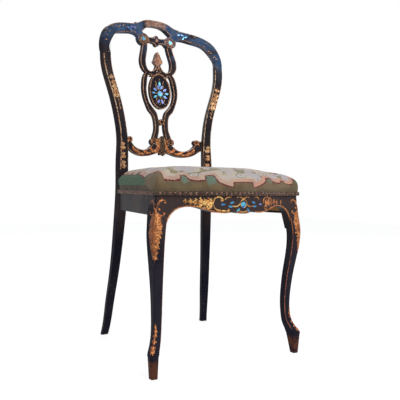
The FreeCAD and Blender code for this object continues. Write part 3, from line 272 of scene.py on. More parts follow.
def needlepoint():
    """Canvas work in a flat grid of stitches: a scalloped field with a dark outline on an olive border."""
    s = Shader("needlepoint")
    flat_map = s.add("ShaderNodeUVMap", uv_map="flat").outputs["UV"]
    grid = s.add("ShaderNodeVectorMath", {0: flat_map, 1: (STITCH,) * 3}, operation="SNAP").outputs[0]
    u, v, _ = s.axes(grid)

    def edge(across, points, low, high):
        """A boundary's height at a place across, shifted by some mm."""
        def at(shift):
            moved = s.math("ADD", across, shift * MM)
            reach = {"Value": moved, "From Min": -ACROSS * MM, "From Max": ACROSS * MM}
            share = s.add("ShaderNodeMapRange", reach).outputs[0]
            node = s.add("ShaderNodeFloatCurve", {"Value": share})
            curve = node.mapping.curves[0]
            marks = sorted(((a + ACROSS) / (2 * ACROSS), (b - low) / (high - low)) for a, b in points)
            for place, mark in zip(curve.points, (marks[0], marks[-1])):
                place.location = mark
            for mark in marks[1:-1]:
                curve.points.new(*mark)
            for place in curve.points:
                place.handle_type = "VECTOR"
            node.mapping.update()
            height = {"Value": node.outputs[0], "To Min": low * MM, "To Max": high * MM}
            return s.add("ShaderNodeMapRange", height).outputs[0]
        return at

    front = edge(u, FRONT_SCALLOPS, -260, -120)
    side = edge(v, SIDE_SCALLOPS, -240, -120)

    def above(shift, grow):
        """How far inside the field a stitch lies, the field shrunk by grow mm."""
        def bound(at):
            kind = "MAXIMUM" if grow > 0 else "MINIMUM"
            three = s.math(kind, s.math(kind, at(-shift), at(shift)), at(0.0))
            return s.math("ADD", three, grow * MM)
        over = s.minus(v, bound(front))
        left = s.minus(u, bound(side))
        right = s.minus(s.times(u, -1.0), bound(side))
        rear = s.minus(0.150 - grow * MM, v)
        return s.math("MINIMUM", s.math("MINIMUM", over, rear), s.math("MINIMUM", left, right))

    field, outlined, inner, deep = (s.math("GREATER_THAN", above(shift, grow), 0.0) for shift, grow in (
        (0.0, 0.01), (2.4, -2.4), (8.0, 8.0), (13.0, 22.0)))

    # The olive border, greener at the sides and in the gaps between scallops
    tone = s.noise(34.0, 3.0, where=grid)
    olive = s.mix(s.ramp(tone, 0.36, 0.66), srgb(134, 112, 82), srgb(114, 96, 70))
    green_share = s.patches(16.0, 0.50, 0.60, 2.0, where=grid)
    olive = s.mix(s.times(green_share, 0.25), olive, srgb(124, 118, 88))
    at_sides = s.times(s.ramp(s.size(u), 0.140, 0.160), s.ramp(v, -0.120, -0.100))
    olive = s.mix(at_sides, olive, s.mix(s.ramp(tone, 0.4, 0.6), srgb(74, 108, 84), srgb(88, 112, 84)))
    gap = 0.0
    for place, half, lowest in GREEN_GAPS:
        off = s.size(s.minus(u, place * MM))
        here = s.times(s.ramp(off, (half + 4) * MM, half * MM),
                       s.times(s.ramp(v, (lowest - 4) * MM, (lowest + 2) * MM), s.ramp(v, -0.10, -0.12)))
        gap = s.math("MAXIMUM", gap, here)
    ground = s.mix(gap, olive, srgb(118, 134, 116))

    # The field: a salmon band around beige, with pale flowers and a rose haze
    salmon = s.mix(s.ramp(u, -0.08, 0.05), srgb(214, 184, 164), srgb(224, 168, 142))
    salmon = s.mix(s.ramp(tone, 0.40, 0.64), salmon, srgb(202, 162, 142))
    cooler = s.patches(22.0, 0.42, 0.56, 2.0, where=grid)
    beige = s.mix(cooler, srgb(216, 200, 180), srgb(204, 194, 194))
    streaks = s.noise(30.0, 3.0, 0.6, where=s.scaled(1.0, 1.0, 1.0, (0.0, 0.0, 0.7)))
    beige = s.mix(s.ramp(streaks, 0.55, 0.60), beige, srgb(156, 146, 114))
    wobble = s.line(s.noise(80.0, 2.0, where=grid), 0.9, -0.45)
    for place_u, place_v, half_u, half_v in FLOWERS:
        off_u = s.line(u, 1000.0 / half_u, -place_u / half_u)
        off_v = s.line(v, 1000.0 / half_v, -place_v / half_v)
        far = s.math("SQRT", s.math("ADD", s.times(off_u, off_u), s.times(off_v, off_v)))
        far = s.math("ADD", far, wobble)
        for outer, within, petals in ((1.15, 1.05, srgb(158, 148, 118)), (0.95, 0.80, srgb(212, 212, 208)),
                                      (0.50, 0.30, srgb(198, 176, 160))):
            beige = s.mix(s.ramp(far, outer, within), beige, petals)
    inside = s.mix(inner, salmon, beige)
    haze = s.times(s.times(deep, 0.75), s.patches(26.0, 0.60, 0.64, where=grid))
    inside = s.mix(haze, inside, srgb(150, 70, 74))
    colour = s.mix(field, s.mix(outlined, ground, srgb(112, 36, 42)), inside)

    # Single stitches, and darker towards the bottom, along the hem
    stitches = s.weave(flat_map, STITCH)
    thread = s.noise(900.0, 2.0)
    shade = s.math("ADD", s.times(stitches, 0.22), s.times(thread, 0.9))
    colour = s.mix(s.times(s.ramp(shade, 0.65, 0.15), 0.45), colour, s.mix(0.75, colour, (0.02, 0.015, 0.01)))
    x, y, z = s.axes()
    colour = s.mix(s.times(s.ramp(z, 0.405, 0.392), 0.25), colour, (0.055, 0.042, 0.028))

    # The border tucked under the sides' roll: a plain darker fabric, its colour also carrying painted shade
    # of the recess under the roll
    off = s.minus(s.size(x), s.line(y, -SIDE_TAPER, 0.1482))
    crease = s.line(s.ramp(y, -0.125, -0.175), -0.014, 0.4052)
    below = s.ramp(z, crease, s.minus(crease, 0.0015))
    border = s.times(s.ramp(off, 0.0, 0.003), s.times(below, s.ramp(y, -0.176, -0.172)))
    colour = s.mix(border, colour, s.mix(s.ramp(tone, 0.4, 0.6), srgb(70, 60, 52), srgb(92, 80, 64)))
    s.set(Base_Color=colour, Roughness=0.92, Specular_IOR_Level=0.2, Sheen_Weight=0.12)
    s.bump(stitches, 0.5, 0.0006, s.bump(thread, 0.4, 0.0008))
    return s.material


# Outlines of the embroidered field, in mm on the flat cover: places across and heights of its edge
FRONT_SCALLOPS = [
    (-280, -150), (-196, -163), (-187, -165), (-184, -179), (-172, -181.5), (-161.5, -184.7), (-147, -185),
    (-144, -174.5), (-132, -175.6), (-129, -192), (-118.4, -199.1), (-108.4, -204.4), (-95, -209),
    (-92, -196.6), (-79.6, -197.6), (-70, -202), (-68, -219), (-60.7, -225.8), (-46.6, -233.8),
    (-33, -239.5), (-30, -227.2), (27.5, -227), (30, -238.5), (37, -238), (50, -232.2), (69, -219.5),
    (72, -208), (86.5, -200), (94.6, -198.2), (97, -205), (112.3, -200.6), (135.3, -189.7), (138, -178.8),
    (151.1, -177), (154, -183), (175.6, -182), (195.4, -178.1), (280, -150)
]
SIDE_SCALLOPS = [
    (-280, -185), (-163, -184), (-97, -182), (-94, -193), (-62, -186), (-30, -179), (-27, -171), (-8, -170),
    (-5, -176), (15, -172.5), (34, -169), (37, -160), (52, -158), (55, -164), (90, -156), (93, -148),
    (110, -146), (113, -150), (150, -142), (280, -120)
]
GREEN_GAPS = ((-137, 8, -196), (-80, 12, -222), (90, 5, -212))
FLOWERS = ((-1, -209, 13, 8), (-170, -140, 12, 9), (-112, -185, 11, 7), (60, -196, 10, 7),
           (-20, -150, 14, 12), (90, -130, 14, 12), (-100, -90, 13, 13), (30, -60, 16, 14),
           (-40, 30, 15, 13), (80, 40, 14, 13))
NEEDLEPOINT = needlepoint()

PEARL = pearl()
FINIAL = gilt("rubbed_gilding", srgb(208, 148, 108), srgb(146, 92, 66), (0.030, 0.020, 0.020), 0.50, 0.35,
              0.5)
CREAM = gilt("worn_line", srgb(240, 220, 186), srgb(214, 176, 134), (0.060, 0.042, 0.034), 0.60, 0.1, 0.6)
BEECH = raw_wood("block_wood", srgb(196, 158, 112), srgb(150, 108, 68))
DOWEL = raw_wood("dowel_wood", srgb(206, 172, 124), srgb(172, 130, 84), (0.0, math.pi / 2, 0.0))
STEEL = metal("screw_steel", srgb(120, 116, 112), srgb(74, 52, 40), 0.42)
TACK = metal("tack_steel", srgb(70, 78, 92), srgb(50, 42, 40), 0.40)

finishes = {
    "": LACQUER, "nails_": NAIL, "splat_leaf": FINIAL, "splat_rosette": FINIAL, "crest_slips": PEARL,
    "medallion_slips": PEARL, "apron_slips": PEARL, "crest_dowels": DOWEL, "splat_dowels": DOWEL,
    "medallion_pins": DOWEL, "corner_block": BEECH, "block_screws": STEEL, "webbing_tacks": TACK,
}
for name, node in nodes.items():
    node.data.materials.clear()
    best = max((key for key in finishes if name.startswith(key)), key=len)
    node.data.materials.append(finishes[best])


# Gilding and relief laid on the pieces

class Skin:
    """The surface of a node, for gilding to lie on."""

    def __init__(self, *names):
        self.mesh = bmesh.new()
        for name in names:
            self.mesh.from_mesh(nodes[name].data)
        bmesh.ops.remove_doubles(self.mesh, verts=self.mesh.verts, dist=0.01 * MM)
        self.mesh.normal_update()
        self.tree = BVHTree.FromBMesh(self.mesh)
        self.points = np.array([v.co[:] for v in self.mesh.verts])
        self.lines = np.array([[v.index for v in e.verts] for e in self.mesh.edges])

    def struck(self, x, z):
        return self.tree.ray_cast(Vector((x * MM, -1.0, z * MM)), Vector((0.0, 1.0, 0.0)))[:2]

    def inward(self, centre, out):
        """The outermost point from a centre in a direction."""
        return self.tree.ray_cast(centre + out * 0.6, -out)[0]

    def front(self, x, z):
        """The frontmost point at x and z in mm, and its normal."""
        spot, normal = self.struck(x, z)
        if spot is None:
            spot, normal, _, _ = self.tree.find_nearest(Vector((x * MM, self.points[:, 1].min(), z * MM)))
        return spot, normal

    def section(self, axis, value):
        ends = self.points[self.lines]
        off = ends[:, :, axis] - value * MM
        cut = off[:, 0] * off[:, 1] < 0
        ends, off = ends[cut], off[cut]
        share = (off[:, 0] / (off[:, 0] - off[:, 1]))[:, None]
        return ends[:, 0] + (ends[:, 1] - ends[:, 0]) * share

    def ridge(self, axis, values, direction):
        """The outermost points towards a direction in each section."""
        found = []
        for value in values:
            cut = self.section(axis, value)
            if len(cut):
                found.append(Vector(cut[np.argmax(cut @ np.array(direction))]))
        return found


def span(first, last, count):
    return [first + (last - first) * i / (count - 1) for i in range(count)]


def smooth(points, count):
    """A curve through the points, as count points."""
    points = [Vector(point) for point in points]
    ends = [points[0] * 2 - points[1], *points, points[-1] * 2 - points[-2]]
    found = []
    for share in span(0, len(points) - 1, count):
        i = min(int(share), len(points) - 2)
        t = share - i
        a, b, c, d = ends[i:i + 4]
        found.append(b + (c - a) * (t / 2) + (a - b * 2.5 + c * 2 - d / 2) * t ** 2
                     + ((b - c) * 1.5 + (d - a) / 2) * t ** 3)
    return found


def weave(mesh, rows, closed=False):
    """Faces between neighbouring rows; a closed row's end joins its start."""
    for before, after in zip(rows, rows[1:]):
        count = len(before)
        for k in range(count if closed else count - 1):
            j = (k + 1) % count
            mesh.faces.new((before[k], after[k], after[j], before[j]))


class Relief:
    """Raised gilding in one piece. Places turn flat points in mm into points on a skin."""

    def __init__(self, name, material, slot="gilt_carving"):
        self.name, self.material, self.slot = name, material, slot
        self.mesh = bmesh.new()

    def stroke(self, place, line, widths, rise, across=4, vein=0.0):
        rows = []
        for i, point in enumerate(line):
            along = (line[min(i + 1, len(line) - 1)] - line[max(i - 1, 0)]).normalized()
            side = Vector((-along.y, along.x))
            width = widths(i / (len(line) - 1)) if callable(widths) else widths
            row = []
            for t in span(-1.0, 1.0, across + 1):
                spot, normal = place(*(point + side * (width * t)))
                height = rise * (1 - t * t) * min(1.0, width / 1.2) - vein * math.exp(-(t / 0.25) ** 2)
                row.append(self.mesh.verts.new(spot + normal * ((0.12 + max(height, 0.0)) * MM)))
            rows.append(row)
        weave(self.mesh, rows)

    def brush(self, place, points, count, widths, rise, across=4):
        self.stroke(place, smooth(points, count), widths, rise, across)

    def ring(self, place, x, z, radius, count, width):
        line = [Vector((x + radius * math.cos(turn), z + radius * math.sin(turn)))
                for turn in span(0, math.tau, count)]
        self.stroke(place, line, width, 0.5)

    def leaf(self, place, points, half, rise, lobes=2.0):
        line = smooth(points, 14)
        self.stroke(place, line, lambda t: 0.12 + half * math.sin(math.pi * t ** 0.8) ** 0.8
                    * (0.78 + 0.22 * math.cos(math.tau * lobes * t)), rise, vein=rise * 0.35)

    def bead(self, place, x, z, radius, rise):
        spot, normal = place(x, z)
        top = self.mesh.verts.new(spot + normal * ((rise + 0.1) * MM))
        rings = []
        for share in (0.55, 1.0):
            ring = []
            for i in range(10):
                turn = math.tau * i / 10
                spot, normal = place(x + radius * share * math.cos(turn), z + radius * share * math.sin(turn))
                height = rise * math.sqrt(1.001 - share ** 2) + 0.1
                ring.append(self.mesh.verts.new(spot + normal * (height * MM)))
            rings.append(ring)
        for i in range(10):
            j = (i + 1) % 10
            self.mesh.faces.new((top, rings[0][i], rings[0][j]))
            self.mesh.faces.new((rings[0][i], rings[1][i], rings[1][j], rings[0][j]))

    def scroll(self, place, points, width, rise, ball=1.6, flip=1.0):
        """A tapering stroke that ends in a curl with a bead."""
        line = smooth(points, 26)
        end, before = line[-1], line[-3]
        ahead = (end - before).normalized()
        side = Vector((-ahead.y, ahead.x)) * flip
        radius = width * ball
        centre = end + side * radius
        for i in range(1, 10):
            turn = -math.pi / 2 + 1.45 * math.pi * i / 9
            reach = radius * (1 - 0.32 * i / 9)
            line.append(centre + ahead * (math.cos(turn) * reach) + side * (math.sin(turn) * reach))
        self.stroke(place, line, lambda t: width * (0.55 + 0.45 * math.sin(math.pi * min(t * 1.1, 1.0))),
                    rise)
        self.bead(place, centre.x, centre.y, width * 0.8, rise)

    def acanthus(self, place, points, reach, pairs, rise, profile=None, thin=0.34, sides=(-1, 1)):
        """Lobed leaves in pairs along a stem, each pair folding forward."""
        line = smooth(points, 60)
        self.stroke(place, line, lambda t: 0.35 + reach * 0.16 * (1 - t), rise)
        for j in range(pairs):
            share = (j + 0.3) / pairs
            i = int(share * 59)
            ahead = (line[min(i + 2, 59)] - line[max(i - 2, 0)]).normalized()
            size = reach * (profile(share) if profile else 1 - 0.62 * share) * rng.uniform(0.9, 1.1)
            for hand in sides:
                out = Vector((-ahead.y, ahead.x)) * hand
                base = line[i]
                self.leaf(place, [base, base + ahead * (size * 0.22) + out * (size * 0.55),
                                  base + ahead * (size * 0.80) + out * size], size * thin, rise)
                self.leaf(place, [base, base + ahead * (size * 0.62) + out * (size * 0.28),
                                  base + ahead * (size * 1.20) + out * (size * 0.34)],
                          size * thin * 0.8, rise)

    def piece(self):
        for face in self.mesh.faces:
            face.smooth = True
        return made(self.name, self.mesh, self.material, self.slot)


def made(name, mesh, material, slot, *stands_for):
    data = bpy.data.meshes.new(name)
    mesh.normal_update()
    mesh.to_mesh(data)
    mesh.free()
    thing = bpy.data.objects.new(name, data)
    bpy.context.scene.collection.objects.link(thing)
    data.materials.append(material)
    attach(thing, "root")
    if stands_for:
        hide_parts(*stands_for)
    return thing


def strip(mesh, chain, front, side, on_front, on_side):
    """A thin fold of gilding over an edge: chain holds points in metres."""
    rows, lift = [], 0.14
    for point, one, other in zip(chain, front, side):
        to_front = (-other + one * other.dot(one)).normalized()
        to_side = (-one + other * one.dot(other)).normalized()
        rows.append([mesh.verts.new(point + to_front * (on_front * MM) + one * (lift * 0.6 * MM)),
                     mesh.verts.new(point + (one + other).normalized() * (lift * 1.3 * MM)),
                     mesh.verts.new(point + to_side * (on_side * MM) + other * (lift * 0.6 * MM))])
    weave(mesh, rows)


def arris(relief, skin, on_front, on_side, keep=lambda p: True):
    """Gilding along the sharp edges between front faces and side faces."""
    links = {}
    for edge in skin.mesh.edges:
        if len(edge.link_faces) != 2:
            continue
        a, b = (face.normal for face in edge.link_faces)
        if a.y > b.y:
            a, b = b, a
        if a.y < -0.62 and b.y > -0.45 and a.dot(b) < 0.70 and all(keep(v.co / MM) for v in edge.verts):
            for v in edge.verts:
                links.setdefault(v, []).append((edge, a, b))
    seen = set()
    starts = [v for v in links if len(links[v]) != 2] + list(links)
    for first in starts:
        for edge, _, _ in links[first]:
            if edge in seen:
                continue
            chain, fronts, sides, vert, step = [], [], [], first, edge
            while step is not None:
                seen.add(step)
                chain.append(vert)
                vert = step.other_vert(vert)
                onward = [e for e, _, _ in links[vert] if e not in seen]
                step = onward[0] if len(links[vert]) == 2 and onward else None
            chain.append(vert)
            for v in chain:
                fronts.append(sum((a for _, a, _ in links[v]), Vector()).normalized())
                sides.append(sum((b for _, _, b in links[v]), Vector()).normalized())
            if len(chain) > 1:
                strip(relief.mesh, [v.co for v in chain], fronts, sides, on_front, on_side)


def ridge_line(relief, skin, points, front, side, on_front, on_side):
    """Gilding along a rounded edge, given by its outermost points."""
    front, side = Vector(front).normalized(), Vector(side).normalized()
    rows = []
    for point in points:
        row = []
        for share in (-1.0, -0.5, 0.0, 0.5, 1.0):
            step = -side * (-share * on_front) if share < 0 else -front * (share * on_side)
            spot, normal, _, _ = skin.tree.find_nearest(point + step * MM)
            row.append(relief.mesh.verts.new(spot + normal * ((0.10 + 0.2 * (1 - share ** 2)) * MM)))
        rows.append(row)
    weave(relief.mesh, rows)


posts = {"left": Skin("rear_post_left"), "right": Skin("rear_post_right")}
legs = {"left": Skin("front_leg_left"), "right": Skin("front_leg_right")}
hand = {"left": -1, "right": 1}
crest = Skin("crest_rail")
splat = Skin("splat_frame")
bar = Skin("splat_top_bar")
plaque = Skin("splat_medallion")
low_rail = Skin("lower_back_rail")
shell = Skin("rail_shell")
boss = Skin("splat_boss")
apron = Skin("front_rail")

edges = Relief("back_edge_gilding", LINE)
arris(edges, crest, 1.5, 1.0, lambda p: abs(p.x) < 68)
arris(edges, splat, 1.5, 1.0)
arris(edges, bar, 1.5, 1.0)
arris(edges, plaque, 1.1, 0.8, lambda p: (p.x / 29) ** 2 + ((p.z - 670.5) / 46) ** 2 > 1)
arris(edges, low_rail, 1.6, 1.0)
for name, sign in hand.items():
    skin = posts[name]
    heights = span(446, 745, 64)
    outer = skin.ridge(2, heights, (sign, -1, 0))
    inner = skin.ridge(2, heights, (-sign, -1, 0))
    ridge_line(edges, skin, outer, (0, -1, 0), (sign, 0, 0), 2.0, 1.2)
    ridge_line(edges, skin, inner, (0, -1, 0), (-sign, 0, 0), 1.4, 1.0)
    arm = [x * sign for x in span(67, 170, 38)]
    for direction in ((0, -1, 1.2), (0, -1, -1.2)):
        line = crest.ridge(0, arm, direction)
        ridge_line(edges, crest, line, (0, -1, 0), (0, 0, direction[2]), 1.6, 1.0)
edges.piece()

worn = Relief("post_edge_gilding", CREAM)
for name in hand:
    line = posts[name].ridge(2, span(505, 728, 50), (-1, -1, 0))
    ridge_line(worn, posts[name], line, (0, -1, 0), (-1, 0, 0), 1.7, 0.7)
worn.piece()

rim = Relief("apron_edge_gilding", APRON_LINE)
arris(rim, apron, 2.4, 1.8, lambda p: abs(p.x) < 158.5 + (378 - p.z) * 0.172 and (
    p.z < 347 or abs(p.x) > 62 and p.z < 399))
rim.piece()

inner_line = Relief("leg_edge_gilding", LEG_LINE)
for name, sign in hand.items():
    line = legs[name].ridge(2, span(332, 60, 74), (-sign, -1, 0))
    ridge_line(inner_line, legs[name], line, (0, -1, 0), (-sign, 0, 0), 1.1, 0.7)
inner_line.piece()


# Painted and gilded ornament, drawn in mm on the pieces

def around(skin, sign):
    """Across a leg's outer front corner: along its front face, or back along its side where below 0."""
    heights = span(16, 398, 70)
    corners = skin.ridge(2, heights, (sign, -1, 0))

    def place(s, z):
        corner = corners[min(max(round((z - 16) / 382 * 69), 0), 69)]
        point = Vector((corner.x - sign * max(s, 0.0) * MM, corner.y - min(s, 0.0) * MM, z * MM))
        spot, normal, _, _ = skin.tree.find_nearest(point)
        return spot, normal
    return place


def knee(relief, place):
    for points in ([(-2, 362), (-9, 370), (-19, 379)], [(2, 362), (5, 370), (13, 379)]):
        relief.brush(place, points, 14, lambda t: 0.9 * (1.2 - t), 0.5)
    relief.scroll(place, [(0, 350), (5, 366), (12, 373), (20, 371.5)], 1.8, 0.8, 1.5, -1.0)
    relief.scroll(place, [(-2, 350), (-8, 364), (-15, 370.5), (-24, 370)], 1.7, 0.8, 1.5, 1.0)
    relief.bead(place, 7.0, 353.5, 2.6, 0.8)
    relief.scroll(place, [(1, 350), (7, 343), (14, 340), (20, 343)], 1.5, 0.7, 1.4, 1.0)
    relief.scroll(place, [(-3, 350), (-9, 343), (-15, 341), (-20, 345)], 1.3, 0.7, 1.4, -1.0)
    relief.brush(place, [(-0.5, 356), (0, 346), (0.5, 336)], 14, 2.4, 0.9)
    relief.acanthus(place, [(0.5, 344), (0, 324), (0.5, 288), (1.5, 243)], 17.5, 10, 0.9,
                    lambda t: min(0.62 + 2.2 * t, 1.0 - 0.78 * max(t - 0.45, 0) / 0.55), 0.36)
    for j in range(15):
        z = 337 - j * 5.6
        reach = 14.5 * min(0.7 + 0.1 * j, 1.0 - 0.75 * max(j / 14 - 0.4, 0) / 0.6)
        for side in (-1.1, 0.9):
            relief.leaf(place, [(side * reach * 0.35, z), (side * reach * 0.8, z - 3), (side * reach, z - 9)],
                        2.6, 0.8, 1.0)


def ankle(relief, place):
    relief.leaf(place, [(1.5, 84), (2.5, 98), (1.5, 113)], 2.8, 0.8, 1.0)
    relief.acanthus(place, [(2, 100), (1, 84), (0, 66), (0, 55)], 8.0, 5, 0.7, lambda t: 0.6 + 0.4 * t, 0.26)


COPPER_LEAF = Relief("leg_gilding", COPPER)
for name, sign in hand.items():
    place = around(legs[name], sign)
    knee(COPPER_LEAF, place)
    ankle(COPPER_LEAF, place)
COPPER_LEAF.piece()

front_of = {name: skin.front for name, skin in posts.items()}
back_leaf = Relief("post_gilding", PALE)
for side, stem, reach, pairs in (
        ("left", [(-148, 634), (-152, 652), (-158, 672), (-166, 694)], 11.0, 5),
        ("left", [(-131, 448), (-131.5, 455), (-132, 462), (-132, 469)], 9.0, 2),
        ("left", [(-132, 475), (-132, 480), (-132.5, 486), (-132.5, 492)], 8.0, 2),
        ("left", [(-133, 497), (-133, 504), (-133.5, 511), (-134, 519)], 8.0, 2),
        ("right", [(146, 624), (151, 645), (158, 667), (167, 692)], 12.0, 5),
        ("right", [(127, 450), (127, 456), (127.5, 463), (127.5, 470)], 9.0, 2),
        ("right", [(128, 476), (128, 482), (128.5, 488), (128.5, 494)], 8.5, 2),
        ("right", [(129, 499), (129, 506), (129.5, 513), (130, 521)], 8.5, 2)):
    back_leaf.acanthus(front_of[side], stem, reach, pairs, 1.1, lambda t: 0.95 - 0.3 * t, 0.42)
for side, x, z in (("left", -141, 604), ("left", -143, 614), ("left", -145, 623), ("right", 139, 598),
                   ("right", 141, 608), ("right", 144, 616)):
    back_leaf.leaf(front_of[side], [(x, z), (x + 3, z + 4), (x - 2, z + 9)], 1.6, 0.5, 1.0)
for x, z, size in ((141, 815, 3.0), (153, 801, 3.4), (158, 796, 3.0), (166, 784, 3.6), (171, 778, 3.0),
                   (-171, 786, 3.0), (-166, 800, 3.2), (-158, 812, 2.6), (-120, 838, 2.4), (-108, 842, 2.6),
                   (-98, 840, 2.0)):
    back_leaf.leaf(crest.front, [(x - size, z - 1), (x, z + 0.8), (x + size, z + 0.4)], size * 0.55, 0.4, 1.5)
for j in range(46):
    sign = -1 if j % 2 else 1
    share = rng.random()
    x, z = sign * (178 - 78 * share ** 1.4 + rng.uniform(-5, 5)), 806 + 44 * share ** 0.7 + rng.uniform(-7, 7)
    if crest.struck(x, z)[0] is None:
        continue
    turn = rng.uniform(0, math.tau)
    step = Vector((math.cos(turn), math.sin(turn))) * rng.uniform(1.6, 3.4)
    spot = Vector((x, z))
    back_leaf.leaf(crest.front, [spot - step, spot + Vector((step.y, -step.x)) * 0.3, spot + step],
                   rng.uniform(0.6, 1.4), 0.4, 1.0)
back_leaf.ring(boss.front, 0.0, 583, 6.3, 40, 1.2)
for j, z in enumerate(span(491, 539, 17)):
    for x in span(-6.0, 6.0, 5) if j % 2 else span(-4.5, 4.5, 4):
        back_leaf.bead(shell.front, x, z, 0.75, 0.45)
for sign in (-1, 1):
    back_leaf.brush(shell.front, [(sign * 8.2, 491), (sign * 8.6, 515), (sign * 7.4, 538)], 20, 0.8, 0.5)
for points in (
        [(0, 662), (-8, 668), (-14, 664), (-22, 670)], [(0, 662), (8, 668), (14, 664), (22, 670)],
        [(0, 672), (-5, 682), (-2, 694), (0, 708)], [(0, 656), (5, 648), (3, 640), (-3, 632)],
        [(-6, 655), (-12, 648), (-10, 640), (-15, 634)], [(6, 655), (13, 648), (10, 640), (14, 634)],
        [(-6, 676), (-13, 684), (-10, 694), (-14, 700)], [(6, 676), (12, 684), (10, 694), (13, 701)]):
    back_leaf.brush(plaque.front, points, 18, 0.42, 0.3, 2)
back_leaf.piece()

low_leaf = Relief("lower_rail_gilding", COPPER)
low_and_shell = Skin("lower_back_rail", "rail_shell")
for sign in (-1, 1):
    def mirrored(*pairs, sign=sign):
        return [(x * sign, z) for x, z in pairs]
    curl = mirrored((24, 498), (15, 505), (12, 519), (16, 533), (26, 539), (34, 533), (31, 525))
    low_leaf.brush(low_and_shell.front, curl, 40, lambda t: 5.6 * (1 - 0.55 * t), 1.4)
    for lobe in ([(17, 500), (30, 500), (42, 508)], [(36, 495), (50, 494), (64, 501)],
                 [(58, 491), (74, 492), (86, 502)], [(76, 494), (90, 500), (98, 511)]):
        low_leaf.leaf(low_rail.front, mirrored(*lobe), 5.0, 1.2, 1.5)
        x, z = lobe[1]
        tip = mirrored((x - 7, z - 1), (x + 3, z + 4), (x + 5, z + 12))
        low_leaf.leaf(low_rail.front, tip, 3.0, 0.9, 1.0)
    low_leaf.brush(low_rail.front, mirrored((111, 520), (104, 534), (97.5, 528), (103, 524)), 18, 1.9, 0.8)
low_leaf.piece()

yellow = Relief("apron_left_gilding", YELLOW)
front = apron.front
yellow.acanthus(front, [(-72, 366), (-92, 367), (-112, 370), (-134, 371)], 13.0, 6, 1.1,
                lambda t: 1.0 - 0.70 * t, 0.27)
for x, z, r in ((-80, 374, 2.2), (-84, 357, 2.4), (-98, 378, 1.8), (-104, 360, 2.0), (-118, 365, 1.6)):
    yellow.bead(front, x, z, r, 0.8)
yellow.scroll(front, [(-72, 366), (-68, 377), (-58, 381), (-51, 376)], 1.9, 0.9, 1.5, -1.0)
yellow.scroll(front, [(-72, 364), (-66, 354), (-54, 351), (-38, 350.5)], 1.7, 0.9, 1.4, 1.0)
for points in (
        [(-18, 379), (-9, 381), (0, 377), (9, 381), (18, 379)], [(-30, 361), (-16, 360), (-9, 366)],
        [(30, 361), (16, 360), (9, 366)], [(-12, 350.5), (0, 347.5), (12, 350.5)],
        [(-46, 374), (-40, 380), (-30, 380)], [(46, 374), (40, 380), (30, 380)]):
    yellow.brush(front, points, 18, lambda t: 0.5 + 0.9 * math.sin(math.pi * t), 0.7)
yellow.ring(front, 0.8, 366.4, 8.6, 36, 0.9)
yellow.piece()
copper = Relief("apron_right_gilding", COPPER)
copper.scroll(front, [(60, 366), (62, 377), (72, 381.5), (82, 377)], 1.9, 0.9, 1.5, 1.0)
copper.scroll(front, [(62, 362), (66, 354.5), (78, 352), (90, 357)], 1.7, 0.9, 1.5, -1.0)
copper.acanthus(front, [(64, 366), (84, 368), (108, 369), (142, 367)], 10.5, 6, 1.1,
                lambda t: 1.0 - 0.62 * t, 0.24)
copper.piece()


# The stuffed seat

# The seat frame's plan in mm: its front, depth and half width in front, and how far a side runs in
SEAT_FRONT, SEAT_DEPTH, SEAT_HALF, SEAT_RUN_IN = -206, 332, 192, 54
# The cover's grid: rays around the heart, steps up each ray, and the step at which the crown begins
TURNS, STEPS, RIM = 288, 42, 25
HEM_HEIGHTS = (383.4, 387.0, 391.0, 395.0, 399.0, 403.0)
heart = Vector((0.0, (DRAFT_Y - 40.0) * MM, 0.405))
UP = Vector((0.0, 0.0, 1.0))


def outline_reach(out):
    """How far the seat's outline lies from its heart towards the back or the sides."""
    side = 165.0 / (abs(out.x) + SIDE_TAPER * out.y)
    return min(side, 166.0 / out.y if out.y > 0.05 else side) * MM


def cover_rows():
    """The cover's outside, as rays of evenly spaced points from the hem up to the crown."""
    skin = Skin("seat_cover")
    rows, cut = [], set()
    for turn in span(0.0, math.tau, TURNS + 1)[:-1]:
        out = Vector((math.cos(turn), math.sin(turn), 0.0))
        line = []
        for z in HEM_HEIGHTS:
            line.append(skin.inward(Vector((0.0, heart.y, z * MM)), out))
        for rise in span(0.5, 89.9, 120):
            ray = out * math.cos(math.radians(rise)) + Vector((0.0, 0.0, math.sin(math.radians(rise))))
            line.append(skin.inward(heart, ray))
        at_post = out.y > 0.4 and any(spot is None or (spot - heart).dot(out) < outline_reach(out) - 4 * MM
                                      for spot in line[:9])
        if at_post:
            cut.update((len(rows) - 1, len(rows), len(rows) + 1))
        line = [spot for spot in line if spot is not None]
        reach = [0.0]
        for a, b in zip(line, line[1:]):
            reach.append(reach[-1] + (b - a).length)
        row, i = [], 0
        for want in span(0.0, reach[-1], STEPS + 1):
            while i < len(line) - 2 and reach[i + 1] < want:
                i += 1
            share = (want - reach[i]) / max(reach[i + 1] - reach[i], 1e-9)
            row.append((line[i].lerp(line[i + 1], min(share, 1.0)), out * (reach[-1] - want)))
        rows.append(row)

    # Across each post's notch the cover runs on, inside the post
    for i in sorted(cut):
        before, after = i, i
        while before in cut:
            before -= 1
        while after in cut:
            after += 1
        share = (i - before) / (after - before)
        rows[i] = [(a.lerp(b, share), c.lerp(d, share)) for (a, c), (b, d) in zip(rows[before], rows[after])]
    return rows


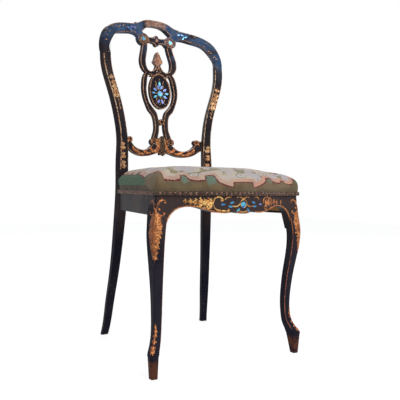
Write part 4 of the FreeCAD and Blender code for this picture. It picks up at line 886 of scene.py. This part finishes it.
def inflate(thing, pinned, cap):
    """Cloth pressure, with each point's travel capped."""
    rest = [v.co.copy() for v in thing.data.vertices]
    group = thing.vertex_groups.new(name="pinned")
    group.add(pinned, 1.0, "REPLACE")
    cloth = thing.modifiers.new("cloth", "CLOTH")
    cloth.settings.effector_weights.gravity = 0.0
    cloth.settings.use_pressure = True
    cloth.settings.uniform_pressure_force = 4.0
    cloth.settings.vertex_group_mass = "pinned"
    cloth.settings.quality = 5
    cloth.collision_settings.use_collision = False
    cloth.point_cache.frame_end = 20
    scene = bpy.context.scene
    for number in range(1, 21):
        scene.frame_set(number)
    shape = thing.evaluated_get(bpy.context.evaluated_depsgraph_get()).to_mesh()
    moved = [v.co.copy() for v in shape.vertices]
    for vert, was, now in zip(thing.data.vertices, rest, moved):
        step = now - was
        vert.co = was + step * min(1.0, cap / max(step.length, 1e-9))
    scene.frame_set(1)
    thing.modifiers.remove(cloth)
    thing.vertex_groups.clear()


def bell(value, middle, width):
    return math.exp(-((value - middle) / width) ** 2)


def clamped(value):
    return min(max(value, 0.0), 1.0)


def seat_shape(point):
    """The sewn shape of the stuffed one: the sides' tucked border and the corners' folds. Point in mm."""
    x, y, z = point
    edge = SEAT_HALF - (y - SEAT_FRONT) * SEAT_RUN_IN / SEAT_DEPTH
    inset = edge - abs(x)
    side = clamped((30 - inset) / 18) * clamped((y + 196) / 14)
    crease = 405.0 - 14.0 * clamped((-144 - y) / 46)
    under = 1 / (1 + math.exp(min(max((z - crease) / 1.2, -40), 40)))
    tuck = side * (1.6 * under * clamped((z - 390) / 3) - 4.2 * bell(z, crease + 9, 8.0))
    sign = 1 if x > 0 else -1
    rise = clamped((z - 398) / 14)
    # The left side stands fuller than the right one
    if x < 0:
        lift = 6.0 * bell(inset, 14.0, 24.0) * clamped((y + 140) / 50)
    else:
        lift = -5.0 * bell(inset, 45.0, 40.0)
        tuck -= side * 1.5 * bell(z, crease + 4, 12.0)
    lift -= 1.5 * bell(x, 0.0, 90.0)
    spot = Vector((x - sign * tuck, y, z + lift * rise))
    if abs(x) > 130 and y < -150 and z > 386:
        for low, high, depth in ((-184.0, -166.0, 2.6), (-170.0, -152.0, 1.8)):
            line = low + (high - low) * clamped((z - 388) / 30)
            fade = 1.0 - clamped((z - 414) / 14)
            spot.y += (depth * bell(-abs(x), line, 2.4) - 0.8 * depth * bell(-abs(x), line + 5.0, 3.4)) * fade
    return spot


def seat():
    rows = cover_rows()
    mesh = bmesh.new()
    layer = mesh.loops.layers.uv.new("flat")
    grid = [[mesh.verts.new(spot) for spot, _ in row[:RIM + 1]] for row in rows]
    below = mesh.verts.new(Vector((heart.x, heart.y, HEM_HEIGHTS[0] * MM)))
    laid = {below: Vector()}
    for verts, row in zip(grid, rows):
        laid.update({vert: spread for vert, (_, spread) in zip(verts, row)})
    for i, one in enumerate(grid):
        other = grid[(i + 1) % TURNS]
        for k in range(RIM):
            mesh.faces.new((one[k], other[k], other[k + 1], one[k + 1]))
        mesh.faces.new((other[0], one[0], below))

    # The crown's middle is a square grid whose outline is the ring above
    skin = Skin("seat_cover")
    half = TURNS // 8
    cells = {}
    for a in range(-half, half + 1):
        for b in range(-half, half + 1):
            ring = max(abs(a), abs(b))
            if ring == 0:
                turn = 0.0
            elif a == ring:
                turn = b / ring
            elif b == ring:
                turn = 2 - a / ring
            elif a == -ring:
                turn = 4 - b / ring
            else:
                turn = 6 + a / ring
            column = (turn % 8) / 8 * TURNS
            i = int(column)
            if ring == half:
                cells[a, b] = grid[round(column) % TURNS][RIM]
                continue
            (spot, spread), (spot_b, spread_b) = rows[i % TURNS][RIM], rows[(i + 1) % TURNS][RIM]
            spot, spread = spot.lerp(spot_b, column - i), spread.lerp(spread_b, column - i)
            share = ring / half
            x, y = heart.x + (spot.x - heart.x) * share, heart.y + (spot.y - heart.y) * share
            high = skin.tree.ray_cast(Vector((x, y, 1.0)), Vector((0.0, 0.0, -1.0)))[0]
            cells[a, b] = mesh.verts.new(high)
            laid[cells[a, b]] = spread * share
    for a in range(-half, half):
        for b in range(-half, half):
            mesh.faces.new((cells[a, b], cells[a + 1, b], cells[a + 1, b + 1], cells[a, b + 1]))
    for face in mesh.faces:
        face.smooth = True
        for loop in face.loops:
            loop[layer].uv = laid[loop.vert].to_2d() * 1.028
    mesh.verts.index_update()
    pinned = [v.index for v in mesh.verts if v.co.z < 0.393]
    bottom = below.index
    thing = made("seat_pad", mesh, NEEDLEPOINT, "needlepoint", "seat_cover", "seat_stuffing")
    inflate(thing, pinned, 3.0 * MM)
    for vert in thing.data.vertices:
        spot = vert.co / MM - Vector((0.0, DRAFT_Y, 0.0))
        vert.co = (seat_shape(spot) + Vector((0.0, DRAFT_Y, 0.0))) * MM
    shape = bmesh.new()
    shape.from_mesh(thing.data)
    shape.verts.ensure_lookup_table()
    bmesh.ops.delete(shape, geom=[shape.verts[bottom]], context="VERTS")
    shape.to_mesh(thing.data)
    shape.free()
    finer = thing.modifiers.new("finer", "SUBSURF")
    finer.levels = finer.render_levels = 1


seat()


# Braid over the hem, and the cloth and straps below

HEM_STEP, BRAID_WAVE = 1.1, 8.0


def hem_points():
    """Around the hem at the braid's height: evenly spaced points and their outward directions."""
    skin = Skin("seat_gimp")
    ring = []
    for turn in span(0.0, math.tau, 721)[:-1]:
        out = Vector((math.cos(turn), math.sin(turn), 0.0))
        spot = skin.inward(Vector((0.0, heart.y, 0.3878)), out)
        if spot is not None and (out.y < 0.4 or (spot - heart).dot(out) > outline_reach(out) - 4 * MM):
            ring.append(spot)
    reach = [0.0]
    for a, b in zip(ring, ring[1:] + ring[:1]):
        reach.append(reach[-1] + (b - a).length)
    ring.append(ring[0])
    found, i = [], 0
    count = int(reach[-1] / (HEM_STEP * MM))
    for want in span(0.0, reach[-1], count + 1)[:-1]:
        while reach[i + 1] < want:
            i += 1
        found.append(ring[i].lerp(ring[i + 1], (want - reach[i]) / max(reach[i + 1] - reach[i], 1e-9)))
    outs = []
    for j in range(count):
        along = found[(j + 1) % count] - found[j - 1]
        outs.append(Vector((along.y, -along.x, 0.0)).normalized())
    return found, outs


def tube(mesh, centres, outs, tall, wide):
    """A closed round of tube; its section's half height and half width are in mm."""
    rings = []
    for centre, out in zip(centres, outs):
        ring = []
        for turn in span(0.0, math.tau, 6)[:-1]:
            spot = centre + UP * (tall * math.cos(turn) * MM) + out * (wide * math.sin(turn) * MM)
            ring.append(mesh.verts.new(spot))
        rings.append(ring)
    weave(mesh, rings + rings[:1], closed=True)


def braid():
    """Three strands wound around each other between two cords."""
    mesh = bmesh.new()
    spots, outs = hem_points()
    count = len(spots)
    waves = round(count * HEM_STEP / BRAID_WAVE)
    for strand in range(3):
        centres = []
        for j, (spot, out) in enumerate(zip(spots, outs)):
            turn = math.tau * (waves * j / count + strand / 3)
            aside = 0.15 + 0.5 * math.sin(2 * turn)
            centres.append(spot + UP * (2.9 * math.sin(turn) * MM) + out * (aside * MM))
        tube(mesh, centres, outs, 1.15, 0.75)
    for z in (-4.1, 4.1):
        tube(mesh, [spot + UP * (z * MM) for spot in spots], outs, 0.45, 0.5)
    for face in mesh.faces:
        face.smooth = True
    made("gimp", mesh, BRAID, "gimp_braid", "seat_gimp")


def thread_cloth(name, light, dark, scale):
    s = Shader(name)
    fibre = s.noise(scale, 4.0, 0.6)
    s.set(Base_Color=s.mix(s.ramp(fibre, 0.35, 0.65), light, dark), Roughness=0.85, Sheen_Weight=0.2)
    s.bump(fibre, 0.5, 0.0005)
    return s.material


STRAP_HALF, STRAP_LEVEL = 0.0245, 0.4068


def webbing(node, along, across, straps, level, name):
    """Flat jute straps, each passing over and under the ones it crosses. Axes 0 and 1 are x and y."""
    mesh = bmesh.new()
    skin = Skin(node)
    for i, place in enumerate(straps):
        near = skin.points[np.abs(skin.points[:, across] - place) < 0.0262]
        low, high = near[:, along].min(), near[:, along].max()
        for edge in (-0.024, 0.024):
            here = skin.points[np.abs(skin.points[:, across] - place - edge) < 0.0025][:, along]
            low, high = max(low, here.min()), min(high, here.max())
        faces = []
        for lift in (-0.7, 0.7):
            grid = []
            for t in span(low + 0.001, high - 0.001, 72):
                wave = level(i, t)
                grid.append([])
                for e in span(-STRAP_HALF, STRAP_HALF, 9):
                    spot = Vector((0.0, 0.0, STRAP_LEVEL + wave * MM + lift * MM))
                    spot[along], spot[across] = t, place + e
                    grid[-1].append(mesh.verts.new(spot))
            faces.append(grid)
        for grid in faces:
            weave(mesh, grid)
        for k in (0, 8):
            for a, b, c, d in zip(faces[0], faces[0][1:], faces[1], faces[1][1:]):
                mesh.faces.new((a[k], b[k], d[k], c[k]))
    bmesh.ops.recalc_face_normals(mesh, faces=mesh.faces)
    made(name, mesh, JUTE, "jute", node)


LONG_STRAPS = [-0.0966 + 0.0644 * i for i in range(4)]
CROSS_STRAPS = [(SEAT_FRONT + SEAT_DEPTH * share + DRAFT_Y) * MM for share in (0.17, 0.38, 0.59, 0.80)]


def woven_level(others, sign):
    def level(i, t):
        wave = 0.0
        for j, place in enumerate(others):
            wave += (1 if (i + j) % 2 else -1) * math.exp(-((t - place) / 0.026) ** 4)
        return sign * wave * 0.85
    return level


def hessian():
    skin = Skin("hessian")
    mesh = bmesh.new()
    centre = Vector((0.0, -0.02, 0.4098))
    rings = []
    for share in span(0.06, 0.997, 26):
        ring = []
        for turn in span(0.0, math.tau, 129)[:-1]:
            out = Vector((math.cos(turn), math.sin(turn), 0.0))
            point = centre.lerp(skin.inward(centre, out), share)
            sag = 0.5 * MM * (1 - share ** 2)
            point.z -= sag * (1 + 0.4 * math.sin(point.x * 90) * math.sin(point.y * 70))
            ring.append(mesh.verts.new(point))
        rings.append(ring)
    weave(mesh, rings, closed=True)
    mesh.faces.new(rings[0])
    area = sum(face.calc_area() for face in mesh.faces)
    thing = made("hessian_cloth", mesh, HESSIAN, "hessian_cloth", "hessian")


BRAID = thread_cloth("gimp_braid", srgb(104, 86, 62), srgb(60, 48, 36), 420.0)
JUTE = plain_cloth("jute", srgb(184, 152, 104), srgb(122, 92, 56), 0.0022, 0.7)
HESSIAN = plain_cloth("hessian_cloth", srgb(186, 160, 118), srgb(104, 80, 50), 0.0028, 0.8)
braid()
webbing("webbing_long", 1, 0, LONG_STRAPS, woven_level(CROSS_STRAPS, 1), "webbing_straps_long")
webbing("webbing_cross", 0, 1, CROSS_STRAPS, woven_level(LONG_STRAPS, -1), "webbing_straps_across")
hessian()

# Camera, light and floor

def studio():
    data = bpy.data.cameras.new("camera")
    camera = bpy.data.objects.new("camera", data)
    bpy.context.scene.collection.objects.link(camera)
    right = Vector((0.86310866, -0.50489305, 0.01124466))
    up = Vector((0.00064034, 0.02335993, 0.99972692))
    ahead = Vector((0.50501785, 0.86286576, -0.02048546))
    turn = Matrix((right, up, -ahead)).transposed().to_4x4()
    place = Vector((-684.500, -1190.789 + DRAFT_Y, 398.534)) * MM
    camera.matrix_world = Matrix.Translation(place) @ turn
    data.sensor_width = 36.0
    data.lens = 47.896
    data.shift_x = 0.0225
    data.shift_y = -0.0023
    data.clip_start = 0.01
    bpy.context.scene.camera = camera
    bpy.context.scene.view_settings.view_transform = "Standard"


studio()


def lamp(name, place, target, size, power, colour=(1.0, 1.0, 1.0)):
    data = bpy.data.lights.new(name, "AREA")
    data.shape = "SQUARE"
    data.size = size
    data.energy = power
    data.color = colour
    thing = bpy.data.objects.new(name, data)
    thing.location = place
    thing.rotation_euler = (Vector(target) - Vector(place)).to_track_quat("-Z", "Y").to_euler()
    bpy.context.scene.collection.objects.link(thing)


middle = (0.0, 0.0, 0.45)
lamp("key", (0.5, -2.3, 2.3), middle, 1.7, 40.0)
lamp("fill", (-2.2, -0.9, 1.4), middle, 1.6, 3.0, (0.92, 0.95, 1.0))
lamp("rim", (0.9, 2.0, 1.9), middle, 1.4, 16.0)


def seen_directly(tree):
    """1 for rays from the camera and for mirrored and refracted ones."""
    path = tree.nodes.new("ShaderNodeLightPath")
    found = path.outputs["Is Camera Ray"]
    for name in ("Is Glossy Ray", "Is Transmission Ray"):
        either = tree.nodes.new("ShaderNodeMath")
        either.operation = "MAXIMUM"
        tree.links.new(found, either.inputs[0])
        tree.links.new(path.outputs[name], either.inputs[1])
        found = either.outputs[0]
    return found


world = bpy.data.worlds.new("world")
bpy.context.scene.world = world
world.use_nodes = True
tree = world.node_tree
back = tree.nodes["Background"]
back.inputs["Color"].default_value = (0.93, 0.95, 1.0, 1.0)
back.inputs["Strength"].default_value = 0.55
white = tree.nodes.new("ShaderNodeBackground")
white.inputs["Color"].default_value = (1.0, 1.0, 1.0, 1.0)
either = tree.nodes.new("ShaderNodeMixShader")
tree.links.new(seen_directly(tree), either.inputs["Fac"])
tree.links.new(back.outputs[0], either.inputs[1])
tree.links.new(white.outputs[0], either.inputs[2])
tree.links.new(either.outputs[0], tree.nodes["World Output"].inputs["Surface"])

bpy.ops.mesh.primitive_plane_add(size=9.0, location=(0.0, 0.0, 0.0))
floor = bpy.context.object
floor.name = "floor"
paper = Shader("floor_paper")
paper.set(Base_Color=(0.86, 0.86, 0.86), Roughness=0.9, Specular_IOR_Level=0.0)
thin = paper.add("ShaderNodeBsdfDiffuse", {"Color": (0.30, 0.30, 0.30)})
glow = paper.add("ShaderNodeEmission", {"Color": (1.0, 1.0, 1.0), "Strength": 0.82})
shown = paper.add("ShaderNodeAddShader", {0: thin.outputs[0], 1: glow.outputs[0]})
choice = paper.add("ShaderNodeMixShader", {"Fac": seen_directly(paper.tree), 1: paper.surface.outputs[0],
                                           2: shown.outputs[0]})
paper.tree.links.new(choice.outputs[0], paper.tree.nodes["Material Output"].inputs["Surface"])
floor.data.materials.append(paper.material)
